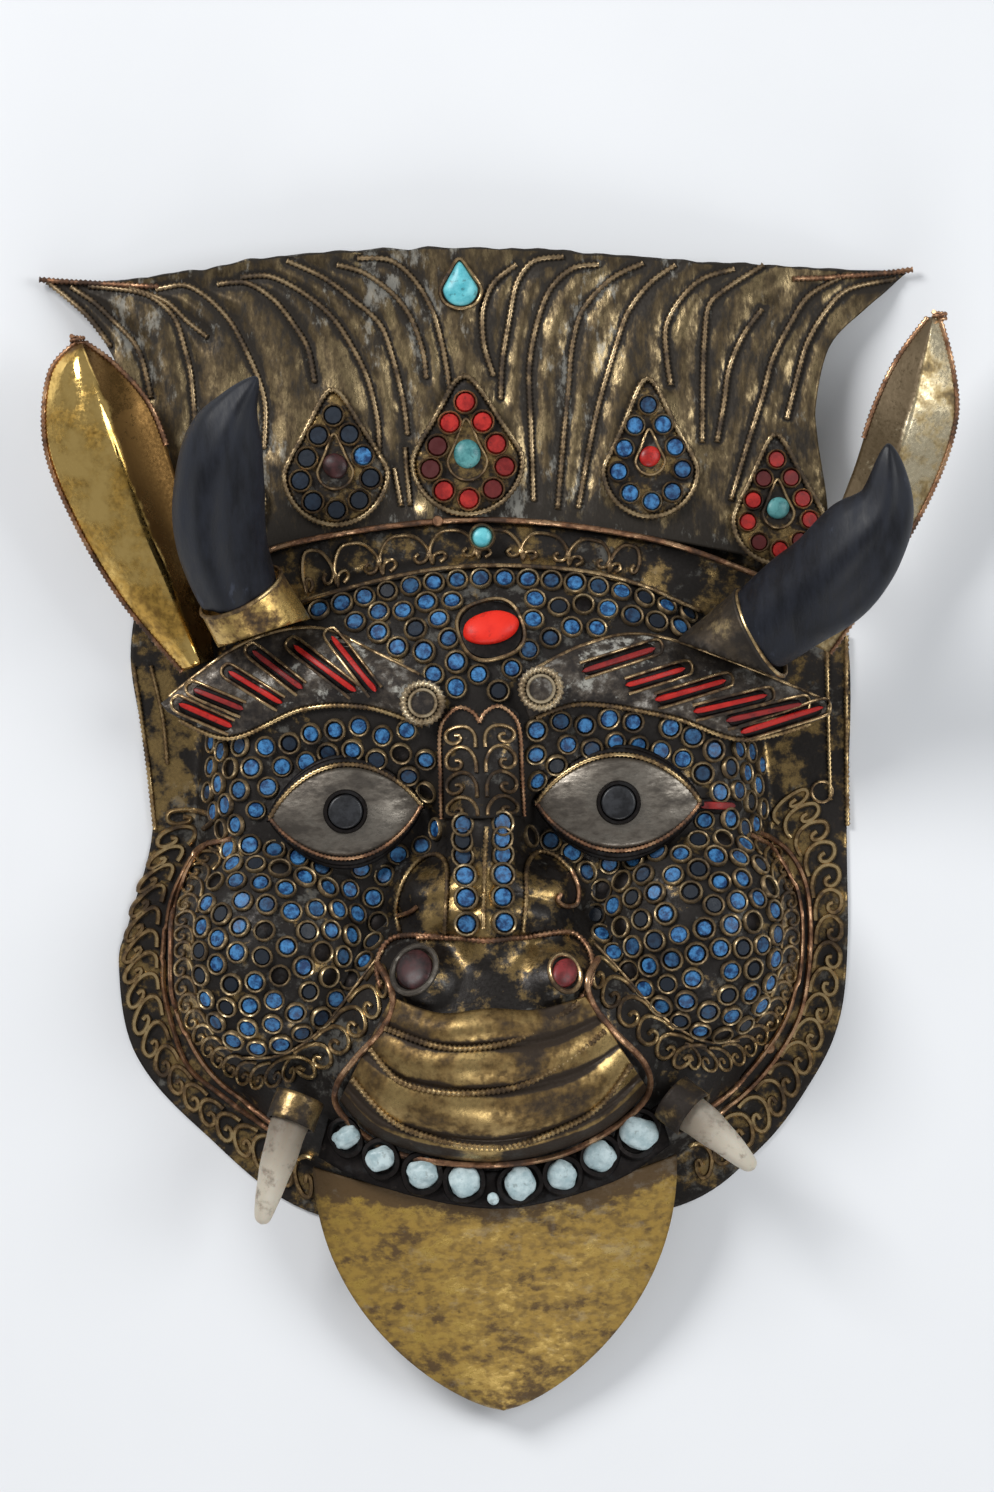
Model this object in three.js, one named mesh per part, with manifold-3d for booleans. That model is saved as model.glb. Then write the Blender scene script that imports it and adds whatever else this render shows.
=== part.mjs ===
// Tibetan cham mask: a hollow beaten-metal demon face lying on the flat rim of its back.
// Millimetres. +X is the mask's left-to-right as seen from the front, +Y runs up to the crown, +Z comes
// out of the face. The rim's flat underside is z = 0.
// Positions below are measured from the face's midline; the finished part is moved so that its box is
// centred.
import * as THREE from 'three';
import { mergeVertices } from 'three/addons/utils/BufferGeometryUtils.js';
import Module from 'manifold-3d';

const wasm = await Module();
wasm.setup();

const midlineOffset = [-10.65, -0.25]; // the ears spread unevenly, so the midline isn't the middle of the box
const sheetThickness = 1.2;
const gap = 0.35; // between pieces that touch

// ---- sizes of the face shell
const rimTop = sheetThickness;
const rimRight = [
  [0, -137], [61, -131], [90.6, -112], [110, -88], [119.5, -68],
  [123, -42], [124, -4], [126.5, 60], [112, 92], [60, 113],
];
const rimLeft = [
  [0, 118], [-62, 112], [-106, 94], [-118.2, 66], [-113, 24], [-113.5, 0],
  [-122, -27], [-126, -42], [-121.5, -72], [-100, -99], [-62, -129],
];
const shellPole = [0, -18];
const shellSectors = 54;
const shellRings = [0.985, 0.95, 0.905, 0.85, 0.78, 0.7, 0.61, 0.52, 0.43, 0.345, 0.26, 0.175, 0.09];
const mound = { x: 0, y: -10, halfWidth: 98, halfHeight: 118, power: 2.7, height: 29, slopePart: 0.2 };
const blend = 7; // how softly the bulges of the face run into each other
const bulges = {
  cheekLeft: { x: -72, y: -41, rx: 37, ry: 43, base: 6, top: 48 },
  cheekRight: { x: 69.5, y: -39, rx: 37, ry: 43, base: 6, top: 48 },
  forehead: { x: 0, y: 46, rx: 92, ry: 47, base: 4, top: 45 },
  eyeLeft: { x: -46.5, y: 7.5, rx: 34, ry: 25, base: 10, top: 37 },
  eyeRight: { x: 46.5, y: 7.5, rx: 34, ry: 25, base: 10, top: 37 },
  bridge: { x: 0, y: 22, rx: 24, ry: 36, base: 8, top: 47 },
  muzzle: { x: 0, y: -70, rx: 62, ry: 50, base: 14, top: 60 },
};
// softer swellings, added on top
const swellings = {
  nose: { x: 0, y: -14, rx: 21, ry: 36, height: 27 },
  wingLeft: { x: -19, y: -22, rx: 18, ry: 18, height: 19 },
  wingRight: { x: 20, y: -23, rx: 18, ry: 18, height: 19 },
  nostrilLeft: { x: -24.5, y: -47, rx: 16, ry: 16, height: 8 },
  nostrilRight: { x: 25.5, y: -49, rx: 16, ry: 16, height: 8 },
};

// ---- sizes of the pieces set on it
const crown = {
  bottom: [[-101, 88], [-62, 100], [0, 106], [58, 98], [119, 84]],
  top: [[-143, 192], [-90, 194.5], [-20, 198.5], [70, 192], [151, 185]],
  columns: 20, rows: 6, middleZ: 29, sweep: 0.00088, lean: 0.08, flute: 1.3, fluteCount: 13,
};
const headband = {
  top: [[-94, 84], [-60, 99], [0, 104.6], [58, 96.5], [98, 83]],
  bottom: [[-80, 66], [-57, 79.5], [1.6, 89.5], [55, 81.5], [88, 64]],
  columns: 14, rows: 2, z: 27.5, sweep: 0.0011,
};
const ears = {
  left: {
    outer: [[-100.6, 57.5], [-120.7, 83.3], [-135.7, 110.8], [-144.2, 136], [-142, 160], [-132, 171]],
    inner: [[-89.4, 61.2], [-92, 90], [-99.4, 120.5], [-107.4, 146.8], [-119, 162], [-129.6, 170.6]],
    ridgeAt: 0.6, baseZ: 24, tipZ: 30, ridge: 10,
  },
  right: {
    outer: [[120, 56], [141.6, 85.1], [157, 111], [165.2, 133], [165, 151], [161, 169]],
    inner: [[108, 62], [119, 92], [130, 118], [137.4, 138.3], [146, 155], [157, 169]],
    ridgeAt: 0.55, baseZ: 24, tipZ: 31, ridge: 9,
  },
};
const horns = {
  left: {
    path: [
      [-79.6, 84, 45.5], [-84.7, 102, 56], [-85, 119.5, 66],
      [-82, 136, 75], [-77.4, 146.4, 80], [-71, 155.4, 84],
    ],
    base: 12.6, swell: 0.25, taper: 2.6, sides: 10,
  },
  right: {
    path: [
      [97, 64, 44], [108.7, 73, 52], [121, 82, 61],
      [132, 94.6, 70], [139.5, 106.5, 77], [141, 125.5, 84],
    ],
    base: 12.8, swell: 0.22, taper: 4, sides: 10,
  },
};
const collars = {
  left: { from: [-70.5, 66.5, 38], to: [-79.2, 83.5, 45], wide: 16.2, narrow: 15.6, wall: 1.1 },
  right: { from: [77, 54, 38], to: [96.5, 63.5, 43.5], wide: 10.5, narrow: 16.6, wall: 1.1 },
};
const brows = {
  left: { top: [[-108, 47], [-80.3, 65.8], [-55, 70.8], [-35, 62], [-13.5, 50]],
    bottom: [[-106, 44], [-85.4, 34.5], [-60, 43.5], [-38, 43.4], [-17, 35.5]] },
  right: { top: [[119, 39.5], [87.4, 54], [57.7, 64.5], [35.6, 61.5], [13.5, 51]],
    bottom: [[117, 34], [89.6, 28], [64.9, 36.5], [35, 42], [17, 37]] },
  columns: 10, rows: 4, lift: 5.5, edgeLift: 1.6, room: 30,
};
const eyes = {
  left: { x: -46.5, y: 8, tilt: 0.05, halfLength: 25.5, halfHeight: 14.7 },
  right: { x: 46.2, y: 7.8, tilt: -0.03, halfLength: 27.5, halfHeight: 15 },
  columns: 12, rows: 3, z: 38.6, bulge: 3.2, pupilRadius: 5.8, pupilHeight: 2.4,
};
const lip = {
  rows: 12, columns: 10, folds: 3, foldHeight: 1.9, lift: 3.1,
  top: [[-33, -55], [-17, -61], [0, -60], [16, -61], [33, -57]],
  bottom: [[-52, -90], [-37, -104.5], [0, -112.8], [35, -104.5], [53, -90]],
};
const bridgePanel = { bottomY: 10.5, topY: 40, halfWidth: 13.5, columns: 8, rows: 5, lift: 2.7 };
const gum = {
  top: [[-53.5, -98], [-38, -107.5], [0, -115.5], [36, -107.5], [53.5, -97]],
  bottom: [[-56, -108], [-40, -118.5], [0, -127.5], [38, -120.5], [56, -108]],
  columns: 12, rows: 2, z: 39, sweep: 0.0021, thickness: 1.4,
};
const teeth = [
  { x: -50.1, y: -102.6, w: 7, h: 10, turn: 0.45 }, { x: -38.4, y: -110.2, w: 8, h: 9.5, turn: 0.4 },
  { x: -24.6, y: -115.6, w: 10, h: 10, turn: 0.2 }, { x: -10.6, y: -118.6, w: 10.5, h: 10, turn: 0.05 },
  { x: 8.3, y: -120, w: 11.5, h: 9, turn: 0.35 }, { x: 22.6, y: -117.8, w: 9.5, h: 9.5, turn: -0.15 },
  { x: 35.4, y: -111.6, w: 9.5, h: 10, turn: -0.4 }, { x: 48.6, y: -104.6, w: 10, h: 13, turn: -0.45 },
];
const toothDepth = 4.6;
const tongue = {
  columns: 10, rows: 8, topZ: 35.2, tipZ: 12, tipY: -198, topY: -124, halfWidth: 61.5, arch: 3,
};
const tusks = {
  left: { path: [[-66, -90, 36], [-70.5, -101, 38], [-76, -117, 38], [-80, -131, 35]], base: 6.6 },
  right: { path: [[62, -94, 36], [68, -99, 38], [78, -108, 40], [88, -118, 37]], base: 6.6 },
  sides: 8, tip: 2, wall: 1, collarLength: 11,
};
const stones = {
  forehead: { x: 4.9, y: 67.9, w: 19.4, h: 12, rise: 4.2, turn: 0.26 },
  nostril_left: { x: -24.3, y: -46.6, w: 10.5, h: 14, rise: 3, turn: 0.3 },
  nostril_right: { x: 25.6, y: -49.4, w: 7.5, h: 10.5, rise: 2.6, turn: -0.3 },
};
const medallions = {
  outer_left: { x: -87, y: 121, w: 33, h: 44, stone: 7.5 },
  left: { x: -46, y: 128.5, w: 35, h: 46, stone: 9 },
  middle: { x: -1, y: 131, w: 37, h: 47, stone: 10 },
  right: { x: 61, y: 128, w: 32, h: 47, stone: 7.5 },
  outer_right: { x: 104, y: 109, w: 31, h: 44, stone: 8 },
};
const medallionThickness = 1;
const crownStones = {
  drop: { x: -1.4, y: 186, w: 12, h: 15.5, rise: 3 },
  round: { x: 3, y: 98.5, w: 8, h: 8, rise: 2.6 },
};

// ---- finishes
const finishes = {
  bronze: [0x4a3c2c, 0.45, 0.9], brass: [0xb08d3f, 0.35, 0.95], steel: [0x7d756c, 0.4, 0.8],
  bone: [0xb9a98a, 0.6, 0], horn: [0x24262b, 0.55, 0], coral: [0xc8361f, 0.35, 0],
  turquoise: [0x5fb7bd, 0.4, 0], tooth: [0xb9cdcd, 0.3, 0], garnet: [0x5a1f22, 0.25, 0],
  dark: [0x15130f, 0.5, 0.2],
};

// ---- general shapes

function smoothMax(a, b, softness) {
  const overlap = Math.max(softness - Math.abs(a - b), 0) / softness;
  return Math.max(a, b) + (overlap * overlap * softness) / 4;
}

function curveThrough(points, closed = false) {
  return new THREE.CatmullRomCurve3(points.map((p) => new THREE.Vector3(p[0], p[1], p[2] ?? 0)), closed);
}

// Turns an index list outwards if the volume it encloses comes out negative.
function solidFrom(vertices, triangles) {
  let volume = 0;
  for (const [a, b, c] of triangles) volume += vertices[a].dot(vertices[b].clone().cross(vertices[c]));
  const order = volume < 0 ? triangles.map(([a, b, c]) => [a, c, b]) : triangles;
  const geometry = new THREE.BufferGeometry();
  const numbers = vertices.flatMap((v) => [v.x, v.y, v.z]);
  geometry.setAttribute('position', new THREE.Float32BufferAttribute(numbers, 3));
  geometry.setIndex(order.flat());
  return geometry;
}

// A closed wall between a front and a back skin over the unit square of (u, v).
function wallBetween(columns, rows, front, back) {
  const vertices = [];
  const triangles = [];
  const side = (columns + 1) * (rows + 1);
  for (const skin of [front, back]) {
    for (let j = 0; j <= rows; j++) {
      for (let i = 0; i <= columns; i++) vertices.push(skin(i / columns, j / rows));
    }
  }
  const at = (i, j, skin) => skin * side + j * (columns + 1) + i;
  const quad = (a, b, c, d) => triangles.push([a, b, c], [a, c, d]);
  for (let j = 0; j < rows; j++) {
    for (let i = 0; i < columns; i++) {
      quad(at(i, j, 0), at(i + 1, j, 0), at(i + 1, j + 1, 0), at(i, j + 1, 0));
      quad(at(i, j, 1), at(i, j + 1, 1), at(i + 1, j + 1, 1), at(i + 1, j, 1));
    }
  }
  for (let i = 0; i < columns; i++) {
    quad(at(i, 0, 0), at(i, 0, 1), at(i + 1, 0, 1), at(i + 1, 0, 0));
    quad(at(i, rows, 0), at(i + 1, rows, 0), at(i + 1, rows, 1), at(i, rows, 1));
  }
  for (let j = 0; j < rows; j++) {
    quad(at(0, j, 0), at(0, j + 1, 0), at(0, j + 1, 1), at(0, j, 1));
    quad(at(columns, j, 0), at(columns, j, 1), at(columns, j + 1, 1), at(columns, j + 1, 0));
  }
  return solidFrom(vertices, triangles);
}

// The normal of a skin, towards +Z.
function normalOf(skin, u, v) {
  const step = 0.004;
  const along = skin(Math.min(u + step, 1), v).sub(skin(Math.max(u - step, 0), v));
  const across = skin(u, Math.min(v + step, 1)).sub(skin(u, Math.max(v - step, 0)));
  const normal = along.cross(across).normalize();
  return normal.z < 0 ? normal.negate() : normal;
}

function sheet(columns, rows, front, thickness) {
  const back = (u, v) => front(u, v).sub(normalOf(front, u, v).multiplyScalar(thickness));
  return wallBetween(columns, rows, front, back);
}

// A solid round bar along a path; its radius is given at each part of the way, and it ends in flat caps.
function taperedBar(path, radiusAt, sides, steps) {
  const curve = curveThrough(path);
  const frames = curve.computeFrenetFrames(steps, false);
  const vertices = [];
  const triangles = [];
  for (let k = 0; k <= steps; k++) {
    const centre = curve.getPointAt(k / steps);
    for (let s = 0; s < sides; s++) {
      const angle = (2 * Math.PI * s) / sides;
      const arm = frames.normals[k].clone().multiplyScalar(Math.cos(angle) * radiusAt(k / steps));
      arm.add(frames.binormals[k].clone().multiplyScalar(Math.sin(angle) * radiusAt(k / steps)));
      vertices.push(centre.clone().add(arm));
    }
  }
  const ends = [vertices.push(curve.getPointAt(0)) - 1, vertices.push(curve.getPointAt(1)) - 1];
  for (let s = 0; s < sides; s++) {
    const next = (s + 1) % sides;
    for (let k = 0; k < steps; k++) {
      const a = k * sides + s;
      const b = k * sides + next;
      triangles.push([a, b, b + sides], [a, b + sides, a + sides]);
    }
    triangles.push([ends[0], next, s], [ends[1], steps * sides + s, steps * sides + next]);
  }
  return solidFrom(vertices, triangles);
}

function toManifold(geometry) {
  const bare = geometry.clone();
  bare.deleteAttribute('normal');
  bare.deleteAttribute('uv');
  const merged = mergeVertices(bare, 1e-3);
  return new wasm.Manifold(new wasm.Mesh({
    numProp: 3,
    vertProperties: new Float32Array(merged.attributes.position.array),
    triVerts: new Uint32Array(merged.index.array),
  }));
}

// What is left of a shape outside all the others.
function cutBy(geometry, others) {
  let left = toManifold(geometry);
  for (const other of others) left = left.subtract(toManifold(other));
  const mesh = left.getMesh();
  const cut = new THREE.BufferGeometry();
  cut.setAttribute('position', new THREE.Float32BufferAttribute(mesh.vertProperties, 3));
  cut.setIndex(Array.from(mesh.triVerts));
  return cut;
}

// Moves a shape made round the Z axis to a point of a surface, with its axis along the normal there.
function setOn(geometry, point, normal, turn = 0) {
  geometry.rotateZ(turn);
  geometry.applyQuaternion(new THREE.Quaternion().setFromUnitVectors(new THREE.Vector3(0, 0, 1), normal));
  geometry.translate(point.x, point.y, point.z);
  return geometry;
}

// A domed stone with a flat back, its back at z = 0.
function cabochon(width, height, rise, sides = 10) {
  const profile = [[0, 0], [1, 0], [1, 0.4], [0.72, 0.84], [0, 1]];
  const lathe = new THREE.LatheGeometry(profile.map(([r, z]) => new THREE.Vector2(r, z)), sides);
  return lathe.rotateX(Math.PI / 2).scale(width / 2, height / 2, rise);
}

// A flat ring with an oval hole, its back at z = 0.
function ovalRing(width, height, wall, rise, sides = 14) {
  const outer = [];
  const profile = [[1, 0], [1 + (2 * wall) / width, 0], [1 + (2 * wall) / width, rise], [1, rise], [1, 0]];
  for (const [r, z] of profile) outer.push(new THREE.Vector2(r, z));
  return new THREE.LatheGeometry(outer, sides).rotateX(Math.PI / 2).scale(width / 2, height / 2, 1);
}

// ---- the face shell

function bulgeHeight({ x: cx, y: cy, rx, ry, base, top }, x, y) {
  const inside = 1 - ((x - cx) / rx) ** 2 - ((y - cy) / ry) ** 2;
  return inside > 0 ? base + (top - base) * Math.sqrt(inside) : -20;
}

function swellingHeight({ x: cx, y: cy, rx, ry, height }, x, y) {
  const inside = 1 - ((x - cx) / rx) ** 2 - ((y - cy) / ry) ** 2;
  return inside > 0 ? height * inside * inside : 0;
}

function moundHeight(x, y) {
  const sum = Math.abs((x - mound.x) / mound.halfWidth) ** mound.power
    + Math.abs((y - mound.y) / mound.halfHeight) ** mound.power;
  const inset = (1 - sum ** (1 / mound.power)) / mound.slopePart;
  return mound.height * Math.sin((Math.PI / 2) * THREE.MathUtils.clamp(inset, 0, 1));
}

function faceHeight(x, y) {
  let height = moundHeight(x, y);
  for (const bulge of Object.values(bulges)) height = smoothMax(height, bulgeHeight(bulge, x, y), blend);
  for (const swelling of Object.values(swellings)) height += swellingHeight(swelling, x, y);
  return rimTop + Math.max(height, 0);
}

function facePoint(x, y, lift = 0) {
  return new THREE.Vector3(x, y, faceHeight(x, y) + lift);
}

function faceNormal(x, y, reach = 2) {
  const slopeX = (faceHeight(x + reach, y) - faceHeight(x - reach, y)) / (2 * reach);
  const slopeY = (faceHeight(x, y + reach) - faceHeight(x, y - reach)) / (2 * reach);
  return new THREE.Vector3(-slopeX, -slopeY, 1).normalize();
}

// Rings run from the outline across the flat rim and then up the face to the pole.
function shellRing(outline, ring) {
  const [poleX, poleY] = shellPole;
  const angle = Math.atan2(outline.y - poleY, outline.x - poleX);
  const dx = Math.cos(angle);
  const dy = Math.sin(angle);
  let foot = 40;
  while (standsUp(poleX + dx * foot, poleY + dy * foot)) foot += 0.5;
  const outlineReach = Math.hypot(outline.x - poleX, outline.y - poleY);
  foot = Math.min(foot, outlineReach - 5);
  const reaches = [outlineReach, (outlineReach + foot) / 2, foot, ...shellRings.map((part) => part * foot)];
  return new THREE.Vector2(poleX + dx * reaches[ring], poleY + dy * reaches[ring]);
}

// Whether the face, and not its flat rim, lies at this place.
function standsUp(x, y) {
  const cheeks = [bulges.cheekLeft, bulges.cheekRight];
  return moundHeight(x, y) > 0 || cheeks.some((cheek) => bulgeHeight(cheek, x, y) > 0);
}

function faceShell() {
  const outline = curveThrough([...rimRight, ...rimLeft], true);
  const rings = 3 + shellRings.length;
  const front = [];
  const back = [];
  const flatRings = 3;
  for (let ring = 0; ring < rings; ring++) {
    for (let sector = 0; sector < shellSectors; sector++) {
      const p = shellRing(outline.getPointAt(sector / shellSectors), ring);
      const flat = ring < flatRings;
      const top = flat ? new THREE.Vector3(p.x, p.y, rimTop) : facePoint(p.x, p.y);
      const normal = flat ? new THREE.Vector3(0, 0, 1) : faceNormal(p.x, p.y);
      front.push(top);
      back.push(top.clone().sub(normal.multiplyScalar(sheetThickness)));
    }
  }
  front.push(facePoint(...shellPole));
  back.push(facePoint(...shellPole, -sheetThickness));
  const pole = rings * shellSectors;
  const skin = pole + 1;
  const triangles = [];
  for (let sector = 0; sector < shellSectors; sector++) {
    const next = (sector + 1) % shellSectors;
    for (let ring = 0; ring < rings - 1; ring++) {
      const a = ring * shellSectors + sector;
      const b = ring * shellSectors + next;
      const c = b + shellSectors;
      const d = a + shellSectors;
      triangles.push([a, b, c], [a, c, d], [skin + a, skin + c, skin + b], [skin + a, skin + d, skin + c]);
    }
    const a = (rings - 1) * shellSectors + sector;
    const b = (rings - 1) * shellSectors + next;
    triangles.push([a, b, pole], [skin + b, skin + a, skin + pole]);
    triangles.push([sector, skin + sector, skin + next], [sector, skin + next, next]);
  }
  return solidFrom([...front, ...back], triangles);
}

// Everything below the face's front, for trimming what stands on it.
function faceRoom() {
  const reach = 130;
  const top = (u, v) => facePoint(reach * (2 * u - 1), reach * (2 * v - 1), 2 * gap);
  const bottom = (u, v) => new THREE.Vector3(reach * (2 * u - 1), reach * (2 * v - 1), -10);
  return wallBetween(64, 64, top, bottom);
}

// ---- sheets set on the face

// A strip between a lower and an upper curve.
function between(bottom, top) {
  const low = curveThrough(bottom);
  const high = curveThrough(top);
  return (u, v) => low.getPoint(u).lerp(high.getPoint(u), v);
}

function crownHeight(x, y) {
  const flutes = crown.flute * Math.sin(((x * crown.fluteCount) / 280) * Math.PI * 2 + 1);
  const fade = THREE.MathUtils.clamp(y - 106, 0, 60) / 60; // the flutes die out towards the headband
  return crown.middleZ - crown.sweep * x * x - crown.lean * (y - 106) + flutes * fade;
}

function crownPlate() {
  const area = between(crown.bottom, crown.top);
  const waist = (v) => 14 * Math.sin(Math.PI * Math.min(v * 1.15, 1)) * v; // the sides draw in below the tips
  const front = (u, v) => {
    const p = area(u, v);
    p.x += (u < 0.5 ? 1 : -1) * waist(v) * Math.abs(2 * u - 1) ** 3;
    p.z = crownHeight(p.x, p.y);
    return p;
  };
  return sheet(crown.columns, crown.rows, front, 1);
}

function headbandStrip() {
  const area = between(headband.bottom, headband.top);
  const front = (u, v) => {
    const p = area(u, v);
    p.z = headband.z - headband.sweep * p.x * p.x - 1.5 * v;
    p.z = Math.max(p.z, faceHeight(p.x, p.y) + 1 + gap + 0.4);
    return p;
  };
  return sheet(headband.columns, headband.rows, front, 1);
}

function ear(spec) {
  const area = between(spec.outer, spec.inner);
  const front = (u, v) => {
    const p = area(u, v);
    const fold = v < spec.ridgeAt ? v / spec.ridgeAt : (1 - v) / (1 - spec.ridgeAt);
    const width = Math.sin(Math.PI * Math.min(0.12 + 0.88 * u, 1)) ** 0.6;
    p.z = THREE.MathUtils.lerp(spec.baseZ, spec.tipZ, Math.min(u * 1.6, 1)) + spec.ridge * fold * width;
    return p;
  };
  return sheet(10, 6, front, 1);
}

function brow(spec) {
  const area = between(spec.bottom, spec.top);
  const front = (u, v) => {
    const p = area(u, v);
    const lift = brows.edgeLift + (brows.lift - brows.edgeLift) * Math.sin(Math.PI * v) ** 0.8;
    p.z = browSeat(p.x, p.y) + lift;
    return p;
  };
  const back = (u, v) => front(u, v).add(new THREE.Vector3(0, 0, -sheetThickness));
  return wallBetween(brows.columns, brows.rows, front, back);
}

// The space above and below a brow, for trimming the horn's collar behind it.
function browRoom(spec) {
  const area = between(spec.bottom, spec.top);
  const top = (u, v) => {
    const p = area(u, -0.06 + 1.12 * v);
    p.z = browSeat(p.x, p.y) + brows.room;
    return p;
  };
  const bottom = (u, v) => top(u, v).setZ(-10);
  return wallBetween(16, 2, top, bottom);
}

// The brow's outer end carries straight on where the face drops away behind it.
function browSeat(x, y) {
  return Math.max(faceHeight(x, y), 31 - 0.02 * Math.max(Math.abs(x) - 60, 0) ** 1.4);
}

// An almond with pointed corners.
function eyePlate(spec) {
  const front = (u, v) => {
    const along = 2 * u - 1;
    const lid = spec.halfHeight * (1 - along * along) ** 0.85 + 0.25;
    const across = (2 * v - 1) * lid;
    const cos = Math.cos(spec.tilt);
    const sin = Math.sin(spec.tilt);
    const x = spec.x + along * spec.halfLength * cos - across * sin;
    const y = spec.y + along * spec.halfLength * sin + across * cos;
    const bulge = eyes.bulge * (1 - along * along) * (1 - (2 * v - 1) ** 2 * 0.6);
    return new THREE.Vector3(x, y, eyes.z + bulge - 3.4 * along * along);
  };
  return sheet(eyes.columns, eyes.rows, front, 1);
}

function pupil(spec) {
  const disc = new THREE.CylinderGeometry(eyes.pupilRadius, eyes.pupilRadius, eyes.pupilHeight, 12);
  disc.rotateX(Math.PI / 2);
  return disc.translate(spec.x, spec.y, eyes.z + eyes.bulge + eyes.pupilHeight / 2 + gap);
}

// The upper lip is a separate plate with three folds that follow the smile.
function lipPlate() {
  const area = between(lip.bottom, lip.top);
  const front = (u, v) => {
    const p = area(u, v);
    const fade = Math.sin(Math.PI * THREE.MathUtils.clamp(u, 0.02, 0.98)) ** 0.5;
    const fold = lip.foldHeight * fade * Math.abs(Math.sin(Math.PI * lip.folds * v));
    p.z = faceHeight(p.x, p.y) + lip.lift + fold;
    return p;
  };
  const back = (u, v) => front(u, v).add(new THREE.Vector3(0, 0, -sheetThickness));
  return wallBetween(lip.columns, lip.rows, front, back);
}

// The panel between the eyes has two round arches at its top.
function nosePanel() {
  const { bottomY, topY, halfWidth, columns, rows, lift } = bridgePanel;
  const front = (u, v) => {
    const x = halfWidth * (2 * u - 1);
    const archTop = topY + 3 * Math.abs(Math.sin(2 * Math.PI * u));
    return facePoint(x, THREE.MathUtils.lerp(bottomY, archTop, v), lift);
  };
  const back = (u, v) => front(u, v).add(new THREE.Vector3(0, 0, -1));
  return wallBetween(columns, rows, front, back);
}

function gumStrip() {
  const area = between(gum.bottom, gum.top);
  const front = (u, v) => {
    const p = area(u, v);
    p.z = gum.z - gum.sweep * p.x * p.x;
    return p;
  };
  return sheet(gum.columns, gum.rows, front, gum.thickness);
}

function tooth({ x, y, w, h, turn }) {
  const point = new THREE.Vector3(x, y, gum.z - gum.sweep * x * x + gap);
  const normal = new THREE.Vector3(2 * gum.sweep * x, 0, 1).normalize();
  return setOn(cabochon(w, h, toothDepth), point, normal, turn);
}

// The tongue hangs as a pointed sheet; its side is a smooth curve that narrows to the tip.
function tongueSheet() {
  const { topY, tipY, halfWidth, topZ, tipZ, arch, columns, rows } = tongue;
  const front = (u, v) => {
    const across = 2 * u - 1;
    const smile = 11.5 * across * across;
    const width = halfWidth * Math.max(1 - v ** 2.1, 0) ** 0.72 + 0.4;
    const y = THREE.MathUtils.lerp(topY + smile, tipY, v);
    const x = across * width;
    const z = THREE.MathUtils.lerp(topZ, tipZ, v) - arch * across * across - 0.0012 * x * x;
    return new THREE.Vector3(x, y, z);
  };
  return sheet(columns, rows, front, 1);
}

function horn(spec) {
  const radiusAt = (t) => 0.6 + spec.base * (1 - t ** spec.taper) * (1 + spec.swell * Math.sin(Math.PI * t));
  return taperedBar(spec.path, radiusAt, spec.sides, 8);
}

function hornCollar(side) {
  return cutBy(collar(collars[side]), [faceRoom(), browRoom(brows[side])]);
}

// A cuff rolled from sheet, open at both ends.
function collar({ from, to, wide, narrow, wall }) {
  const start = new THREE.Vector3(...from);
  const axis = new THREE.Vector3(...to).sub(start);
  const length = axis.length();
  const profile = [[wide, 0], [narrow, length], [narrow - wall, length], [wide - wall, 0], [wide, 0]];
  const lathe = new THREE.LatheGeometry(profile.map(([r, z]) => new THREE.Vector2(r, z)), 14);
  return setOn(lathe.rotateX(Math.PI / 2), start, axis.normalize());
}

function tusk({ path, base }) {
  return taperedBar(path, (t) => THREE.MathUtils.lerp(base, tusks.tip, t ** 2.4), tusks.sides, 5);
}

function tuskCollar({ path, base }) {
  const start = new THREE.Vector3(...path[0]);
  const axis = new THREE.Vector3(...path[1]).sub(start).normalize();
  const to = start.clone().add(axis.clone().multiplyScalar(tusks.collarLength));
  const wide = base + gap + tusks.wall + 0.5;
  return collar({ from: path[0], to: to.toArray(), wide, narrow: wide, wall: tusks.wall });
}

// ---- stones and medallions

function stoneOnFace({ x, y, w, h, rise, turn }, lift) {
  return setOn(cabochon(w, h, rise), facePoint(x, y, lift), faceNormal(x, y, 6), turn);
}

function bezelOnFace({ x, y, w, h, rise, turn }, lift) {
  const ring = ovalRing(w + 2 * gap, h + 2 * gap, 1.1, rise * 0.55);
  return setOn(ring, facePoint(x, y, lift), faceNormal(x, y, 6), turn);
}

function crownNormal(x, y) {
  const reach = 6;
  const slopeX = (crownHeight(x + reach, y) - crownHeight(x - reach, y)) / (2 * reach);
  const slopeY = (crownHeight(x, y + reach) - crownHeight(x, y - reach)) / (2 * reach);
  return new THREE.Vector3(-slopeX, -slopeY, 1).normalize();
}

// A drop with its point up: round below, two straight flanks above.
function dropGeometry(width, height, depth) {
  const r = width / 2;
  const shoulder = Math.PI * 0.94;
  const shape = new THREE.Shape();
  shape.absarc(0, r - height / 2, r, shoulder, 3 * Math.PI - shoulder, false);
  shape.quadraticCurveTo(r * 0.55, height * 0.3, 0, height / 2);
  const shoulderY = r - height / 2 + r * Math.sin(shoulder);
  shape.quadraticCurveTo(-r * 0.55, height * 0.3, r * Math.cos(shoulder), shoulderY);
  return new THREE.ExtrudeGeometry(shape, { depth, bevelEnabled: false, curveSegments: 4 });
}

const crownLift = 1.9; // clears the flutes of the crown under a flat plate

function medallionPlate({ x, y, w, h }) {
  const point = new THREE.Vector3(x, y, crownHeight(x, y) + crownLift);
  return setOn(dropGeometry(w, h, medallionThickness), point, crownNormal(x, y));
}

function medallionStone({ x, y, stone }) {
  const normal = crownNormal(x, y);
  const point = new THREE.Vector3(x, y, crownHeight(x, y) + crownLift);
  point.add(normal.clone().multiplyScalar(medallionThickness + gap));
  return setOn(cabochon(stone, stone * 1.15, 2.6), point, normal);
}

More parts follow.
